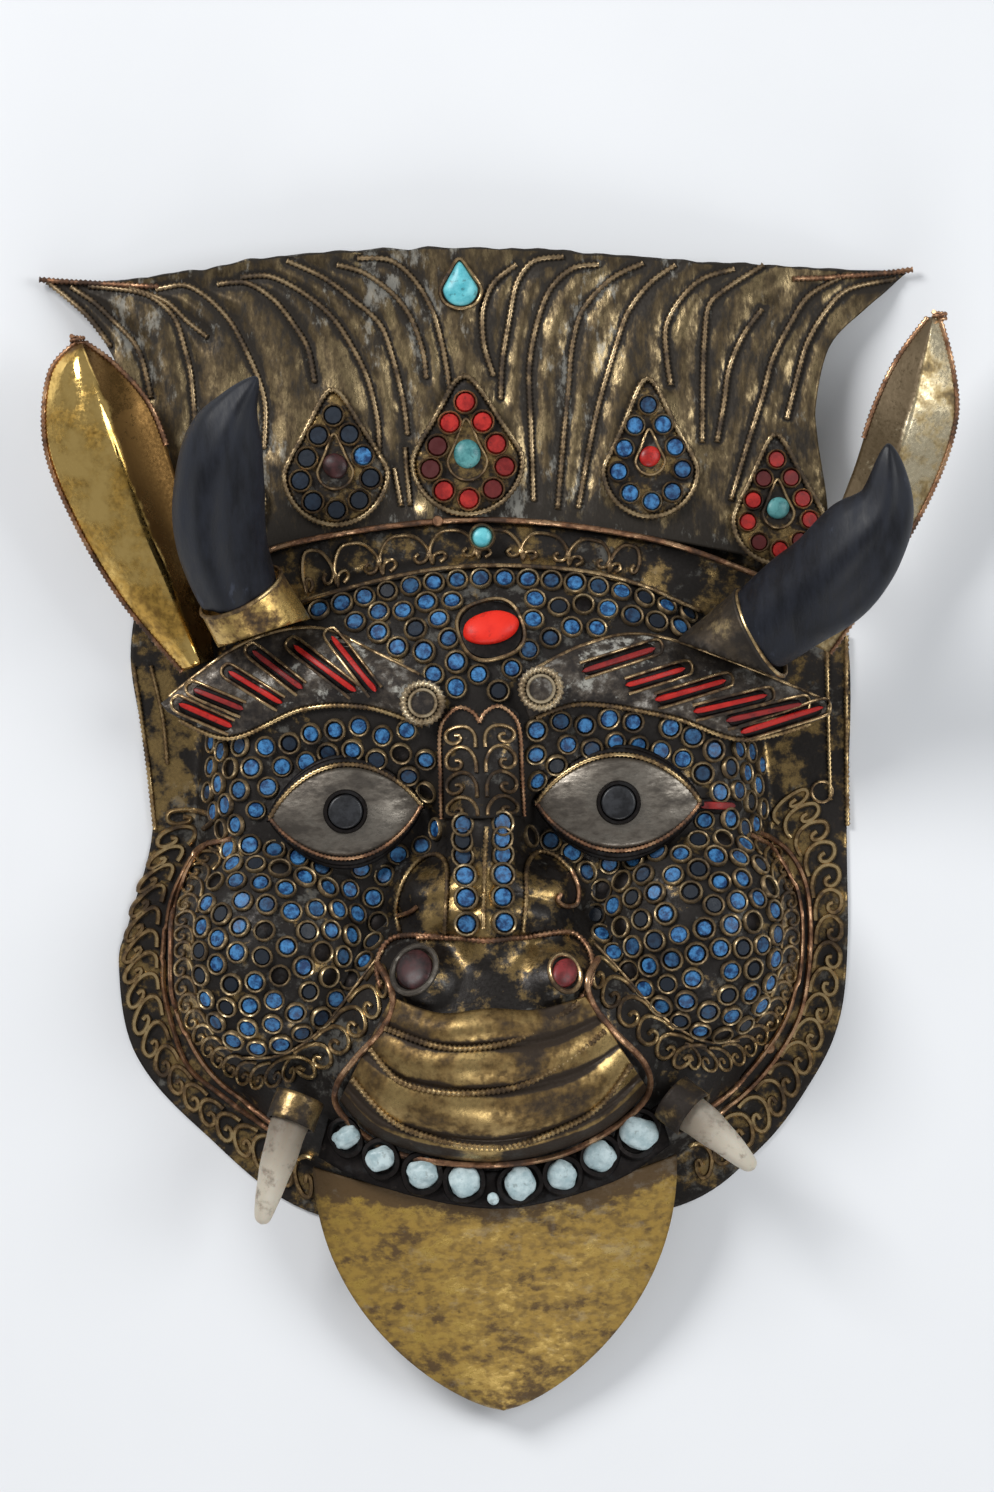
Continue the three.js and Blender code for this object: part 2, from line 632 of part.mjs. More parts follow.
function crownStone({ x, y, w, h, rise }, drop) {
  const shape = drop ? dropGeometry(w, h, rise) : cabochon(w, h, rise);
  return setOn(shape, new THREE.Vector3(x, y, crownHeight(x, y) + crownLift), crownNormal(x, y));
}

// ---- assembly

function pieces() {
  const list = [
    ['face_shell', faceShell(), 'bronze'],
    ['crown_plate', crownPlate(), 'bronze'],
    ['headband', headbandStrip(), 'bronze'],
    ['lip_plate', lipPlate(), 'brass'],
    ['nose_panel', nosePanel(), 'bronze'],
    ['gum_strip', gumStrip(), 'bronze'],
    ['tongue', tongueSheet(), 'brass'],
    ['forehead_stone', stoneOnFace(stones.forehead, 1.6), 'coral'],
    ['forehead_bezel', bezelOnFace(stones.forehead, 1.2), 'bronze'],
    ['crown_drop', crownStone(crownStones.drop, true), 'turquoise'],
    ['crown_round', crownStone(crownStones.round, false), 'turquoise'],
  ];
  for (const side of ['left', 'right']) {
    list.push([`ear_${side}`, ear(ears[side]), 'brass']);
    list.push([`horn_${side}`, horn(horns[side]), 'horn']);
    list.push([`horn_collar_${side}`, hornCollar(side), 'brass']);
    list.push([`brow_${side}`, brow(brows[side]), 'steel']);
    list.push([`eye_${side}`, eyePlate(eyes[side]), 'steel']);
    list.push([`pupil_${side}`, pupil(eyes[side]), 'dark']);
    list.push([`tusk_${side}`, tusk(tusks[side]), 'bone']);
    list.push([`tusk_collar_${side}`, tuskCollar(tusks[side]), 'brass']);
    list.push([`nostril_stone_${side}`, stoneOnFace(stones[`nostril_${side}`], 1.2), 'garnet']);
    list.push([`nostril_bezel_${side}`, bezelOnFace(stones[`nostril_${side}`], 1), 'steel']);
  }
  teeth.forEach((size, index) => list.push([`tooth_${index + 1}`, tooth(size), 'tooth']));
  for (const [place, size] of Object.entries(medallions)) {
    const stone = place === 'middle' ? 'turquoise' : 'garnet';
    list.push([`medallion_${place}`, medallionPlate(size), 'bronze']);
    list.push([`medallion_stone_${place}`, medallionStone(size), stone]);
  }
  return list;
}

const mask = new THREE.Group();
for (const [name, geometry, finish] of pieces()) {
  const [color, roughness, metalness] = finishes[finish];
  geometry.translate(...midlineOffset, 0);
  const mesh = new THREE.Mesh(geometry, new THREE.MeshStandardMaterial({ color, roughness, metalness }));
  mesh.name = name;
  mask.add(mesh);
}

export default mask;
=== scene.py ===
import math
import random

import bmesh
import bpy
from mathutils import Matrix, Vector, kdtree, noise


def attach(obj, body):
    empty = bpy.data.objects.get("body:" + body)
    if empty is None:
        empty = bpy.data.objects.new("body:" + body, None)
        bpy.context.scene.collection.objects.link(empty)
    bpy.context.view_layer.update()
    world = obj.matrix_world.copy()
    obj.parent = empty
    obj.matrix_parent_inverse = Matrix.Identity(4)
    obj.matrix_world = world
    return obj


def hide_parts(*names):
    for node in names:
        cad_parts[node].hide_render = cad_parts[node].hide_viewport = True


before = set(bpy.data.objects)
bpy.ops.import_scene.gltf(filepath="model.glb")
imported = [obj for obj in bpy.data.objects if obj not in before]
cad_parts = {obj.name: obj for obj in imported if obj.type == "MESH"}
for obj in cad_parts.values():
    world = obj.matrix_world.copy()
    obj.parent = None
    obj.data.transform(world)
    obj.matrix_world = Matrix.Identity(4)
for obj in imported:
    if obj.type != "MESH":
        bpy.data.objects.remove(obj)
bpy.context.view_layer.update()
print("frame loaded")

# All sizes below are millimetres from the face's midline; place() takes them to metres in the part's frame.
midline = (-10.65, -0.25)


def place(x, y, z):
    return Vector(((x + midline[0]) / 1000, (y + midline[1]) / 1000, z / 1000))


# ---- the forms that the sheets follow

crownStrands = {
    "left": [
        [(-142, 192), (-135, 186), (-128, 179), (-121, 169)],
        [(-134, 190), (-127, 185), (-120, 178), (-113, 170), (-110, 162), (-108, 151)],
        [(-128, 190), (-114, 188), (-106, 185), (-99, 178), (-96, 168), (-94, 158), (-93, 139)],
        [(-114, 189), (-102, 184), (-95, 177), (-88, 171)],
        [(-105, 188), (-95, 189), (-87, 184), (-80, 176), (-75, 166), (-71, 156), (-69, 146), (-70, 132)],
        [(-84, 189), (-74, 189), (-65, 183), (-59, 175), (-54, 166), (-52, 154)],
        [(-76, 191), (-66, 191), (-55, 185), (-46, 177), (-40, 168), (-34, 155), (-31, 140), (-31, 130)],
        [(-60, 196), (-48, 190), (-38, 182), (-29, 173), (-25, 161), (-22, 146), (-21, 135)],
        [(-43, 194), (-34, 191), (-25, 184), (-19, 176), (-15, 164), (-14, 154)],
        [(-36, 196), (-25, 195), (-17, 188), (-11, 177), (-8, 164), (-6, 150)],
        [(-26, 124), (-24, 111)], [(-22, 131), (-21, 111)],
    ],
    "right": [
        [(18, 192), (10, 186), (6, 177), (6, 165), (9, 154)],
        [(34, 194), (24, 193), (18, 186), (15, 174), (12, 159), (11, 146)],
        [(46, 191), (37, 190), (29, 183), (24, 171), (21, 156), (21, 138), (21, 127), (21, 111)],
        [(61, 191), (50, 186), (40, 176), (36, 164), (34, 148), (32, 133), (29, 108)],
        [(72, 190), (63, 184), (55, 174), (50, 161), (45, 146), (41, 131), (36, 108)],
        [(92, 188), (81, 185), (73, 178), (68, 169), (68, 158), (69, 149)],
        [(102, 189), (90, 182), (83, 176), (81, 164), (80, 151), (79, 129)],
        [(101, 174), (94, 165), (89, 154), (87, 143), (84, 129)],
        [(128, 184), (117, 178), (110, 168), (104, 157), (100, 144), (94, 127), (88, 109)],
        [(147, 183), (131, 180), (123, 173), (116, 162), (112, 150), (108, 136)],
    ],
    "edge": [[(-145, 193), (-120, 190.5), (-104, 189)], [(153, 186), (130, 184.5), (112, 184)]],
    "radius": 1.15, "pitch": 1.65,
}


def plantStrands(steps=12):
    # a tree of points along the wires, to find how far any place on the crown is from one
    points = [Vector(a).lerp(Vector(c), k / steps).to_3d() for run in crownStrands["left"] + crownStrands["right"]
              for a, c in zip(run, run[1:]) for k in range(steps)]
    tree = kdtree.KDTree(len(points))
    for index, point in enumerate(points):
        tree.insert(point, index)
    tree.balance()
    return tree


strandTree = plantStrands()

faceForm = {
    "rimTop": 1.2,
    "blend": 7,
    "mound": {"x": 0, "y": -10, "halfWidth": 98, "halfHeight": 118, "power": 2.7, "height": 29, "slopePart": 0.2},
    "bulges": [  # x, y, radius x, radius y, base, top
        (-72, -41, 37, 43, 6, 48), (69.5, -39, 37, 43, 6, 48), (0, 46, 92, 47, 4, 45), (-46.5, 7.5, 34, 25, 10, 37),
        (46.5, 7.5, 34, 25, 10, 37), (0, 22, 24, 36, 8, 47), (0, -70, 62, 50, 14, 60),
    ],
    "swellings": [  # x, y, radius x, radius y, height
        (0, -14, 21, 36, 27), (-19, -22, 18, 18, 19), (20, -23, 18, 18, 19), (-24.5, -47, 16, 16, 8),
        (25.5, -49, 16, 16, 8),
    ],
    "outline": [
        (0, -137), (61, -131), (90.6, -112), (110, -88), (119.5, -68), (123, -42), (124, -4), (126.5, 60), (112, 92),
        (60, 113), (0, 118), (-62, 112), (-106, 94), (-118.2, 66), (-113, 24), (-113.5, 0), (-122, -27), (-126, -42),
        (-121.5, -72), (-100, -99), (-62, -129),
    ],
    "pole": (0, -18),
}
crownForm = {"middleZ": 28.6, "sweep": 0.00088, "lean": 0.08, "leanFrom": 106, "ribRise": 2.1, "ribReach": 4.2}
headbandForm = {"middleZ": 27.5, "sweep": 0.0011, "lean": 0.075, "leanFrom": 82, "overFace": 1.75}
gumForm = {"middleZ": 39, "sweep": 0.0021}


def smoothMax(a, b, softness):
    overlap = max(softness - abs(a - b), 0) / softness
    return max(a, b) + overlap * overlap * softness / 4


def moundHeight(x, y):
    m = faceForm["mound"]
    total = abs((x - m["x"]) / m["halfWidth"]) ** m["power"] + abs((y - m["y"]) / m["halfHeight"]) ** m["power"]
    inset = (1 - total ** (1 / m["power"])) / m["slopePart"]
    return m["height"] * math.sin(math.pi / 2 * min(max(inset, 0), 1))


def faceHeight(x, y):
    height = moundHeight(x, y)
    for cx, cy, rx, ry, base, top in faceForm["bulges"]:
        inside = 1 - ((x - cx) / rx) ** 2 - ((y - cy) / ry) ** 2
        bulge = base + (top - base) * math.sqrt(inside) if inside > 0 else -20
        height = smoothMax(height, bulge, faceForm["blend"])
    for cx, cy, rx, ry, rise in faceForm["swellings"]:
        inside = 1 - ((x - cx) / rx) ** 2 - ((y - cy) / ry) ** 2
        height += rise * inside * inside if inside > 0 else 0
    return faceForm["rimTop"] + max(height, 0)


def strandDistance(x, y):
    return strandTree.find((x, y, 0))[2]


def crownHeight(x, y):
    # the sheet swells in ribs between the wires
    c = crownForm
    rib = 1 - math.exp(-(strandDistance(x, y) / c["ribReach"]) ** 2)
    return c["middleZ"] - c["sweep"] * x * x - c["lean"] * (y - c["leanFrom"]) + c["ribRise"] * (rib - 0.45)


def bandHeight(x, y):
    h = headbandForm
    swept = h["middleZ"] - h["sweep"] * x * x - h["lean"] * (y - h["leanFrom"])
    return max(swept, faceHeight(x, y) + h["overFace"])


def gumHeight(x, y):
    return gumForm["middleZ"] - gumForm["sweep"] * x * x


def slopeAt(form, x, y, reach=1.5):
    dx = (form(x + reach, y) - form(x - reach, y)) / (2 * reach)
    dy = (form(x, y + reach) - form(x, y - reach)) / (2 * reach)
    return Vector((-dx, -dy, 1)).normalized()


def seat(form, x, y, lift=0.0):
    # a point on a form, raised along the form's normal
    normal = slopeAt(form, x, y)
    return Vector((x, y, form(x, y))) + normal * lift, normal


# ---- curves and meshes


def circleRun(x, y, z, radius, count=60):
    return [(x + radius * math.cos(math.tau * k / count), y + radius * math.sin(math.tau * k / count), z)
            for k in range(count + 1)]


def splinePoint(points, u, closed=False):
    count = len(points)
    last = count if closed else count - 1
    t = min(max(u, 0), 1) * last
    i = min(int(t), last - 1)
    f = t - i
    a, b, c, d = (Vector(points[(i + k) % count if closed else max(min(i + k, last), 0)]) for k in (-1, 0, 1, 2))
    return (b * 2 + (c - a) * f + (a * 2 - b * 5 + c * 4 - d) * f * f + (b * 3 - a - c * 3 + d) * f ** 3) / 2


def evenly(points, spacing, smooth=True):
    # the points of a smooth run, at equal spacing
    fine = [Vector(p) for p in points]
    if smooth:
        steps = 16 * len(points)
        fine = [splinePoint(points, k / steps) for k in range(steps + 1)]
    lengths = [0]
    for a, b in zip(fine, fine[1:]):
        lengths.append(lengths[-1] + (b - a).length)
    count = max(int(round(lengths[-1] / spacing)), 1)
    run, k = [], 0
    for i in range(count + 1):
        goal = lengths[-1] * i / count
        while k < len(fine) - 2 and lengths[k + 1] < goal:
            k += 1
        part = (goal - lengths[k]) / max(lengths[k + 1] - lengths[k], 1e-6)
        run.append(fine[k].lerp(fine[k + 1], part))
    return run


def tone(index, salt=0):
    return random.Random(index * 7919 + salt).random()


def finishPiece(obj, slot, material, stands=(), smoothAngle=None):
    mesh = obj.data
    mesh.materials.clear()
    mesh.materials.append(material)
    mesh.shade_smooth()
    if smoothAngle is not None:
        mesh.set_sharp_from_angle(angle=math.radians(smoothAngle))
    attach(obj, "root")
    if stands:
        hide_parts(*stands)
    return obj


def pieceFrom(bm, name, slot, material, stands=(), smoothAngle=None, wall=None):
    mesh = bpy.data.meshes.new(name)
    bm.to_mesh(mesh)
    bm.free()
    obj = bpy.data.objects.new(name, mesh)
    bpy.context.scene.collection.objects.link(obj)
    if wall:
        solid = obj.modifiers.new("wall", "SOLIDIFY")
        solid.thickness = wall / 1000
        solid.offset = -1
    return finishPiece(obj, slot, material, stands, smoothAngle)


def sheetPiece(name, slot, material, columns, rows, front, wall, stands=(), attributes=None, smoothAngle=None):
    # a sheet over the unit square; front(u, v) gives its outer face
    bm = bmesh.new()
    bmesh.ops.create_grid(bm, x_segments=columns, y_segments=rows, size=0.5)
    layers = {key: bm.verts.layers.float.new(key) for key in attributes or {}}
    for vert in bm.verts:
        u, v = vert.co.x + 0.5, vert.co.y + 0.5
        p = Vector(front(u, v))
        for key, rule in (attributes or {}).items():
            vert[layers[key]] = rule(p.x, p.y, u, v)
        vert.co = place(*p)
    bm.normal_update()
    if sum(face.normal.z for face in bm.faces) < 0:
        bmesh.ops.reverse_faces(bm, faces=bm.faces[:])
    return pieceFrom(bm, name, slot, material, stands, smoothAngle, wall)


def between(bottom, top):
    return lambda u, v: splinePoint(bottom, u).lerp(splinePoint(top, u), v)


def wirePiece(name, slot, material, runs, radius, pitch=None, waist=0.55, spacing=0.9, roundness=1, stands=()):
    # round wire along each run of points; with a pitch it's beaded
    curve = bpy.data.curves.new(name + "Path", "CURVE")
    curve.dimensions = "3D"
    curve.bevel_depth = radius / 1000
    curve.bevel_resolution = roundness
    curve.use_fill_caps = True
    for run in runs:
        points = evenly(run, pitch / 2 if pitch else spacing, smooth=False)
        spline = curve.splines.new("POLY")
        spline.points.add(len(points) - 1)
        for k, p in enumerate(points):
            spline.points[k].co = (*place(*p), 1)
            spline.points[k].radius = waist if pitch and k % 2 else 1
    holder = bpy.data.objects.new(name + "Path", curve)
    bpy.context.scene.collection.objects.link(holder)
    mesh = bpy.data.meshes.new_from_object(holder.evaluated_get(bpy.context.evaluated_depsgraph_get()))
    bpy.data.objects.remove(holder)
    bm = bmesh.new()
    bm.from_mesh(mesh)
    bpy.data.meshes.remove(mesh)
    bmesh.ops.remove_doubles(bm, verts=bm.verts, dist=1e-6)
    return pieceFrom(bm, name, slot, material, stands, 60)


def spunShape(profile, steps):
    bm = bmesh.new()
    verts = [bm.verts.new((r, 0, z)) for r, z in profile]
    edges = [bm.edges.new((verts[i], verts[(i + 1) % len(verts)])) for i in range(len(verts))]
    bmesh.ops.spin(bm, geom=verts + edges, cent=(0, 0, 0), axis=(0, 0, 1), angle=math.tau, steps=steps,
                   use_merge=True)
    bmesh.ops.remove_doubles(bm, verts=bm.verts, dist=1e-5)
    bmesh.ops.recalc_face_normals(bm, faces=bm.faces[:])
    return bm


def ringShape(radius=1.0, wall=0.2, height=0.35, steps=14):
    # a low collar with a rounded lip
    inner, middle = radius - wall, radius - wall / 2
    profile = [(inner, 0), (inner, height * 0.8), (middle, height), (radius, height * 0.75), (radius, 0)]
    return spunShape(profile, steps)


def chipShape(radius=1.0, height=0.3, steps=12):
    bm = bmesh.new()
    bmesh.ops.create_cone(bm, cap_ends=True, segments=steps, radius1=radius, radius2=radius * 0.86, depth=height)
    bmesh.ops.translate(bm, verts=bm.verts, vec=(0, 0, height / 2))
    return bm


def domeShape(rise=0.5):
    bm = bmesh.new()
    bmesh.ops.create_uvsphere(bm, u_segments=24, v_segments=14, radius=1)
    bmesh.ops.bisect_plane(bm, geom=bm.verts[:] + bm.edges[:] + bm.faces[:], plane_co=(0, 0, 0),
                           plane_no=(0, 0, -1), clear_outer=True)
    rim = [e for e in bm.edges if e.is_boundary]
    bmesh.ops.contextual_create(bm, geom=rim)
    bmesh.ops.scale(bm, vec=(1, 1, rise), verts=bm.verts)
    bmesh.ops.recalc_face_normals(bm, faces=bm.faces[:])
    return bm


def setMany(name, slot, material, shape, spots, stands=()):
    # one small shape at many spots: (point, normal, size x, size y, turn, tone)
    template = bpy.data.meshes.new("template")
    shape.to_mesh(template)
    shape.free()
    each = len(template.vertices)
    bm = bmesh.new()
    for point, normal, sizeX, sizeY, turn, _ in spots:
        copy = template.copy()
        stretch = Matrix.Diagonal((sizeX / 1000, sizeY / 1000, min(sizeX, sizeY) / 1000, 1))
        copy.transform(Matrix.Translation(place(*point)) @ normal.to_track_quat("Z", "Y").to_matrix().to_4x4()
                       @ Matrix.Rotation(turn, 4, "Z") @ stretch)
        bm.from_mesh(copy)
        bpy.data.meshes.remove(copy)
    bpy.data.meshes.remove(template)
    obj = pieceFrom(bm, name, slot, material, stands, 45)
    tones = obj.data.attributes.new("tone", "FLOAT", "POINT")
    tones.data.foreach_set("value", [spots[i // each][5] for i in range(each * len(spots))])
    return obj


def loftPiece(name, slot, material, path, radiusAt, sides, steps, stands=(), openEnds=False, wall=None,
              shapeAt=None, cut=None):
    # a round section drawn along a path; shapeAt(angle, t) may press it out of round
    bm = bmesh.new()
    ring = bmesh.ops.create_circle(bm, segments=sides, radius=1, cap_ends=not openEnds)["verts"]
    angles = [math.atan2(v.co.y, v.co.x) for v in ring]
    loop = list({e for v in ring for e in v.link_edges})
    side = Vector((0, 0, 1))
    for k in range(steps + 1):
        t = k / steps
        centre = splinePoint(path, t)
        ahead = (splinePoint(path, min(t + 0.02, 1)) - splinePoint(path, max(t - 0.02, 0))).normalized()
        across = ahead.cross(side).normalized()
        up = across.cross(ahead).normalized()
        if k:
            order = {v: i for i, v in enumerate(ring)}
            made = bmesh.ops.extrude_edge_only(bm, edges=loop)["geom"]
            fresh = [g for g in made if isinstance(g, bmesh.types.BMVert)]
            follow = {}
            for v in fresh:
                for e in v.link_edges:
                    if e.other_vert(v) in order:
                        follow[order[e.other_vert(v)]] = v
            ring = [follow[i] for i in range(len(order))]
            loop = [g for g in made if isinstance(g, bmesh.types.BMEdge)
                    and g.verts[0] in fresh and g.verts[1] in fresh]
        for v, angle in zip(ring, angles):
            r = radiusAt(t) * (shapeAt(angle, t) if shapeAt else 1)
            v.co = place(*(centre + across * math.cos(angle) * r + up * math.sin(angle) * r))
    if not openEnds:
        bmesh.ops.contextual_create(bm, geom=loop)
    if cut:
        (x, y), (nx, ny) = cut
        bmesh.ops.bisect_plane(bm, geom=bm.verts[:] + bm.edges[:] + bm.faces[:], plane_co=place(x, y, 0),
                               plane_no=(nx, ny, 0), clear_outer=True)
    bmesh.ops.recalc_face_normals(bm, faces=bm.faces[:])
    return pieceFrom(bm, name, slot, material, stands, wall=wall)


print("shapes ready")

# ---- finishes


def nodeGroup(name, inputs, outputs):
    group = bpy.data.node_groups.new(name, "ShaderNodeTree")
    for label, kind, value in inputs:
        socket = group.interface.new_socket(label, in_out="INPUT", socket_type=kind)
        socket.default_value = value
    for label, kind in outputs:
        group.interface.new_socket(label, in_out="OUTPUT", socket_type=kind)
    return group, group.nodes.new("NodeGroupInput"), group.nodes.new("NodeGroupOutput")


def addNoise(tree, scale, detail=4.0, roughness=0.6, vector=None, scaleFrom=None):
    texture = tree.nodes.new("ShaderNodeTexNoise")
    texture.inputs["Scale"].default_value = scale
    texture.inputs["Detail"].default_value = detail
    texture.inputs["Roughness"].default_value = roughness
    if vector is not None:
        tree.links.new(vector, texture.inputs["Vector"])
    if scaleFrom is not None:
        tree.links.new(scaleFrom, texture.inputs["Scale"])
    return texture.outputs["Fac"]


def addRange(tree, value, low, high, newLow=0.0, newHigh=1.0):
    node = tree.nodes.new("ShaderNodeMapRange")
    node.interpolation_type = "SMOOTHSTEP"
    for label, given in (("Value", value), ("From Min", low), ("From Max", high), ("To Min", newLow),
                         ("To Max", newHigh)):
        if isinstance(given, (int, float)):
            node.inputs[label].default_value = given
        else:
            tree.links.new(given, node.inputs[label])
    return node.outputs["Result"]


def addMath(tree, operation, a, b):
    node = tree.nodes.new("ShaderNodeMath")
    node.operation = operation
    for socket, given in zip(node.inputs, (a, b)):
        if isinstance(given, (int, float)):
            socket.default_value = given
        else:
            tree.links.new(given, socket)
    return node.outputs[0]


def addMix(tree, factor, a, b, blend="MIX"):
    node = tree.nodes.new("ShaderNodeMix")
    node.data_type = "RGBA"
    node.blend_type = blend
    for label, given in (("Factor", factor), ("A", a), ("B", b)):
        socket = next(s for s in node.inputs if s.name == label and s.enabled)
        if isinstance(given, (int, float, tuple)):
            socket.default_value = given
        else:
            tree.links.new(given, socket)
    return next(s for s in node.outputs if s.enabled)


def objectVector(tree):
    return tree.nodes.new("ShaderNodeTexCoord").outputs["Object"]


def addAttribute(tree, name):
    node = tree.nodes.new("ShaderNodeAttribute")
    node.attribute_name = name
    return node.outputs["Fac"]


def buildPatina():
    # dark and rubbed patches of old metal; the bias from a mesh's attribute darkens it further, for stains and, on some
    # pieces, for painted shade
    group, given, out = nodeGroup(
        "patina",
        [("Vector", "NodeSocketVector", (0, 0, 0)), ("Patch Scale", "NodeSocketFloat", 40.0),
         ("Dark Share", "NodeSocketFloat", 0.5), ("Rub Share", "NodeSocketFloat", 0.5),
         ("Dark", "NodeSocketColor", (0.02, 0.015, 0.01, 1)),
         ("Body", "NodeSocketColor", (0.2, 0.14, 0.08, 1)), ("Rub", "NodeSocketColor", (0.7, 0.5, 0.2, 1)),
         ("Rub Bias", "NodeSocketFloat", 0.0), ("Stain And Shade Bias", "NodeSocketFloat", 0.0),
         ("Crust", "NodeSocketFloat", 0.0), ("Polish", "NodeSocketFloat", 0.0)],
        [("Color", "NodeSocketColor"), ("Crusted", "NodeSocketFloat"), ("Stained And Shaded", "NodeSocketFloat"),
         ("Roughness", "NodeSocketFloat"), ("Height", "NodeSocketFloat")])
    vector = given.outputs["Vector"]
    wide = addNoise(group, 40, 5, 0.62, vector, given.outputs["Patch Scale"])
    doubled = addMath(group, "MULTIPLY", given.outputs["Patch Scale"], 2.7)
    middle = addNoise(group, 90, 6, 0.7, vector, doubled)
    fine = addNoise(group, 900, 3, 0.6, vector)
    speck = addNoise(group, 420, 2, 0.5, vector)
    mixed = addMath(group, "ADD", addMath(group, "MULTIPLY", wide, 0.6), addMath(group, "MULTIPLY", middle, 0.4))
    darkEdge = addMath(group, "SUBTRACT", 0.72, addMath(group, "MULTIPLY", given.outputs["Dark Share"], 0.44))
    stainAndShadeNoise = addMath(group, "ADD", mixed, given.outputs["Stain And Shade Bias"])
    stainedAndShaded = addRange(group, stainAndShadeNoise, addMath(group, "SUBTRACT", darkEdge, 0.05),
                       addMath(group, "ADD", darkEdge, 0.07))
    rubNoise = addMath(group, "ADD", addMath(group, "SUBTRACT", 1, mixed), given.outputs["Rub Bias"])
    rubEdge = addMath(group, "SUBTRACT", 0.72, addMath(group, "MULTIPLY", given.outputs["Rub Share"], 0.44))
    rubbed = addRange(group, rubNoise, addMath(group, "SUBTRACT", rubEdge, 0.04),
                      addMath(group, "ADD", rubEdge, 0.08))
    body = addMix(group, addRange(group, speck, 0.35, 0.7), given.outputs["Body"], given.outputs["Dark"])
    body = addMix(group, 0.55, given.outputs["Body"], body)
    color = addMix(group, rubbed, body, given.outputs["Rub"])
    color = addMix(group, stainedAndShaded, color, given.outputs["Dark"])
    powder = addNoise(group, 130, 5, 0.72, vector)
    drift = addNoise(group, 22, 3, 0.6, vector)
    crusted = addRange(group, addMath(group, "ADD", powder, addMath(group, "MULTIPLY", drift, 0.7)), 0.93, 1.06)
    crusted = addMath(group, "MULTIPLY", crusted, given.outputs["Crust"])
    color = addMix(group, crusted, color, (0.42, 0.41, 0.36, 1))
    rough = addMath(group, "ADD", addRange(group, rubbed, 0, 1, 0.5, 0.26),
                    addRange(group, fine, 0.3, 0.7, -0.05, 0.12))
    rough = addMath(group, "ADD", rough, addRange(group, stainedAndShaded, 0, 1, 0, 0.12))
    rough = addMath(group, "ADD", rough, addMath(group, "MULTIPLY", crusted, 0.3))
    rough = addMath(group, "SUBTRACT", rough, given.outputs["Polish"])
    height = addMath(group, "ADD", addMath(group, "MULTIPLY", fine, 0.25), addMath(group, "MULTIPLY", speck, 0.6))
    height = addMath(group, "ADD", height, addMath(group, "MULTIPLY", mixed, 1.2))
    for label, socket in (("Color", color), ("Crusted", crusted), ("Stained And Shaded", stainedAndShaded), ("Roughness", rough),
                          ("Height", height)):
        group.links.new(socket, out.inputs[label])
    return group


def startMaterial(name, **sockets):
    material = bpy.data.materials.new(name)
    material.use_nodes = True
    shader = material.node_tree.nodes["Principled BSDF"]
    for label, value in sockets.items():
        shader.inputs[label.replace("_", " ")].default_value = value
    return material, material.node_tree, shader


def addBump(tree, shader, height, strength, distance):
    bump = tree.nodes.new("ShaderNodeBump")
    bump.inputs["Strength"].default_value = strength
    bump.inputs["Distance"].default_value = distance
    tree.links.new(height, bump.inputs["Height"])
    tree.links.new(bump.outputs["Normal"], shader.inputs["Normal"])


patina = buildPatina()


def metalFinish(name, dark, body, rub, scale, darkShare, rubShare, bump=0.5, metal=0.85, dullMetal=0.5,
                crust=0.0, polish=0.0, grain=(1, 1, 1)):
    # darkShare and rubShare: how much of the metal is black and how much rubbed bare; grain stretches the patches
    material, tree, shader = startMaterial(name)
    node = tree.nodes.new("ShaderNodeGroup")
    node.node_tree = patina
    for label, value in (("Patch Scale", scale), ("Dark Share", darkShare), ("Rub Share", rubShare),
                         ("Dark", (*dark, 1)), ("Body", (*body, 1)), ("Rub", (*rub, 1)), ("Crust", crust),
                         ("Polish", polish)):
        node.inputs[label].default_value = value
    stretch = tree.nodes.new("ShaderNodeMapping")
    stretch.inputs["Scale"].default_value = grain
    tree.links.new(objectVector(tree), stretch.inputs["Vector"])
    tree.links.new(stretch.outputs["Vector"], node.inputs["Vector"])
    tree.links.new(addMath(tree, "MULTIPLY", addAttribute(tree, "gold"), 0.3), node.inputs["Rub Bias"])
    # the mesh's attribute darkens the metal: real stains on some pieces, painted shade on others
    tree.links.new(addMath(tree, "MULTIPLY", addAttribute(tree, "stainAndShade"), 0.3), node.inputs["Stain And Shade Bias"])
    tree.links.new(node.outputs["Color"], shader.inputs["Base Color"])
    tree.links.new(node.outputs["Roughness"], shader.inputs["Roughness"])
    bare = addRange(tree, node.outputs["Stained And Shaded"], 0, 1, metal, dullMetal)
    tree.links.new(addMath(tree, "MULTIPLY", bare, addMath(tree, "SUBTRACT", 1, node.outputs["Crusted"])),
                   shader.inputs["Metallic"])
    addBump(tree, shader, node.outputs["Height"], bump, 0.0004)
    return material


darkBronze = metalFinish("darkBronze", (0.011, 0.008, 0.006), (0.05, 0.034, 0.019), (0.3, 0.2, 0.078),
                         80, 0.52, 0.44, crust=0.18)
crownBronze = metalFinish("crownBronze", (0.02, 0.015, 0.01), (0.098, 0.07, 0.037), (0.235, 0.175, 0.09),
                          70, 0.48, 0.42, crust=0.4, grain=(1.5, 0.6, 1))
tongueBrass = metalFinish("tongueBrass", (0.09, 0.05, 0.015), (0.31, 0.19, 0.034), (0.35, 0.225, 0.044),
                          100, 0.36, 0.4, 0.4, metal=0.35, dullMetal=0.3, crust=0.12, grain=(0.8, 1.2, 1))
lipBrass = metalFinish("lipBrass", (0.028, 0.017, 0.009), (0.2, 0.125, 0.045), (0.42, 0.29, 0.115),
                       26, 0.46, 0.52, 0.25)
wireBrass = metalFinish("wireBrass", (0.05, 0.03, 0.015), (0.25, 0.16, 0.072), (0.5, 0.36, 0.175),
                        70, 0.42, 0.48, 0.2)
paleWire = metalFinish("paleWire", (0.08, 0.055, 0.034), (0.29, 0.215, 0.125), (0.5, 0.41, 0.27),
                       70, 0.36, 0.5, 0.2, metal=0.6)
wireCopper = metalFinish("wireCopper", (0.06, 0.032, 0.019), (0.28, 0.14, 0.075), (0.52, 0.32, 0.18),
                         70, 0.42, 0.45, 0.2)
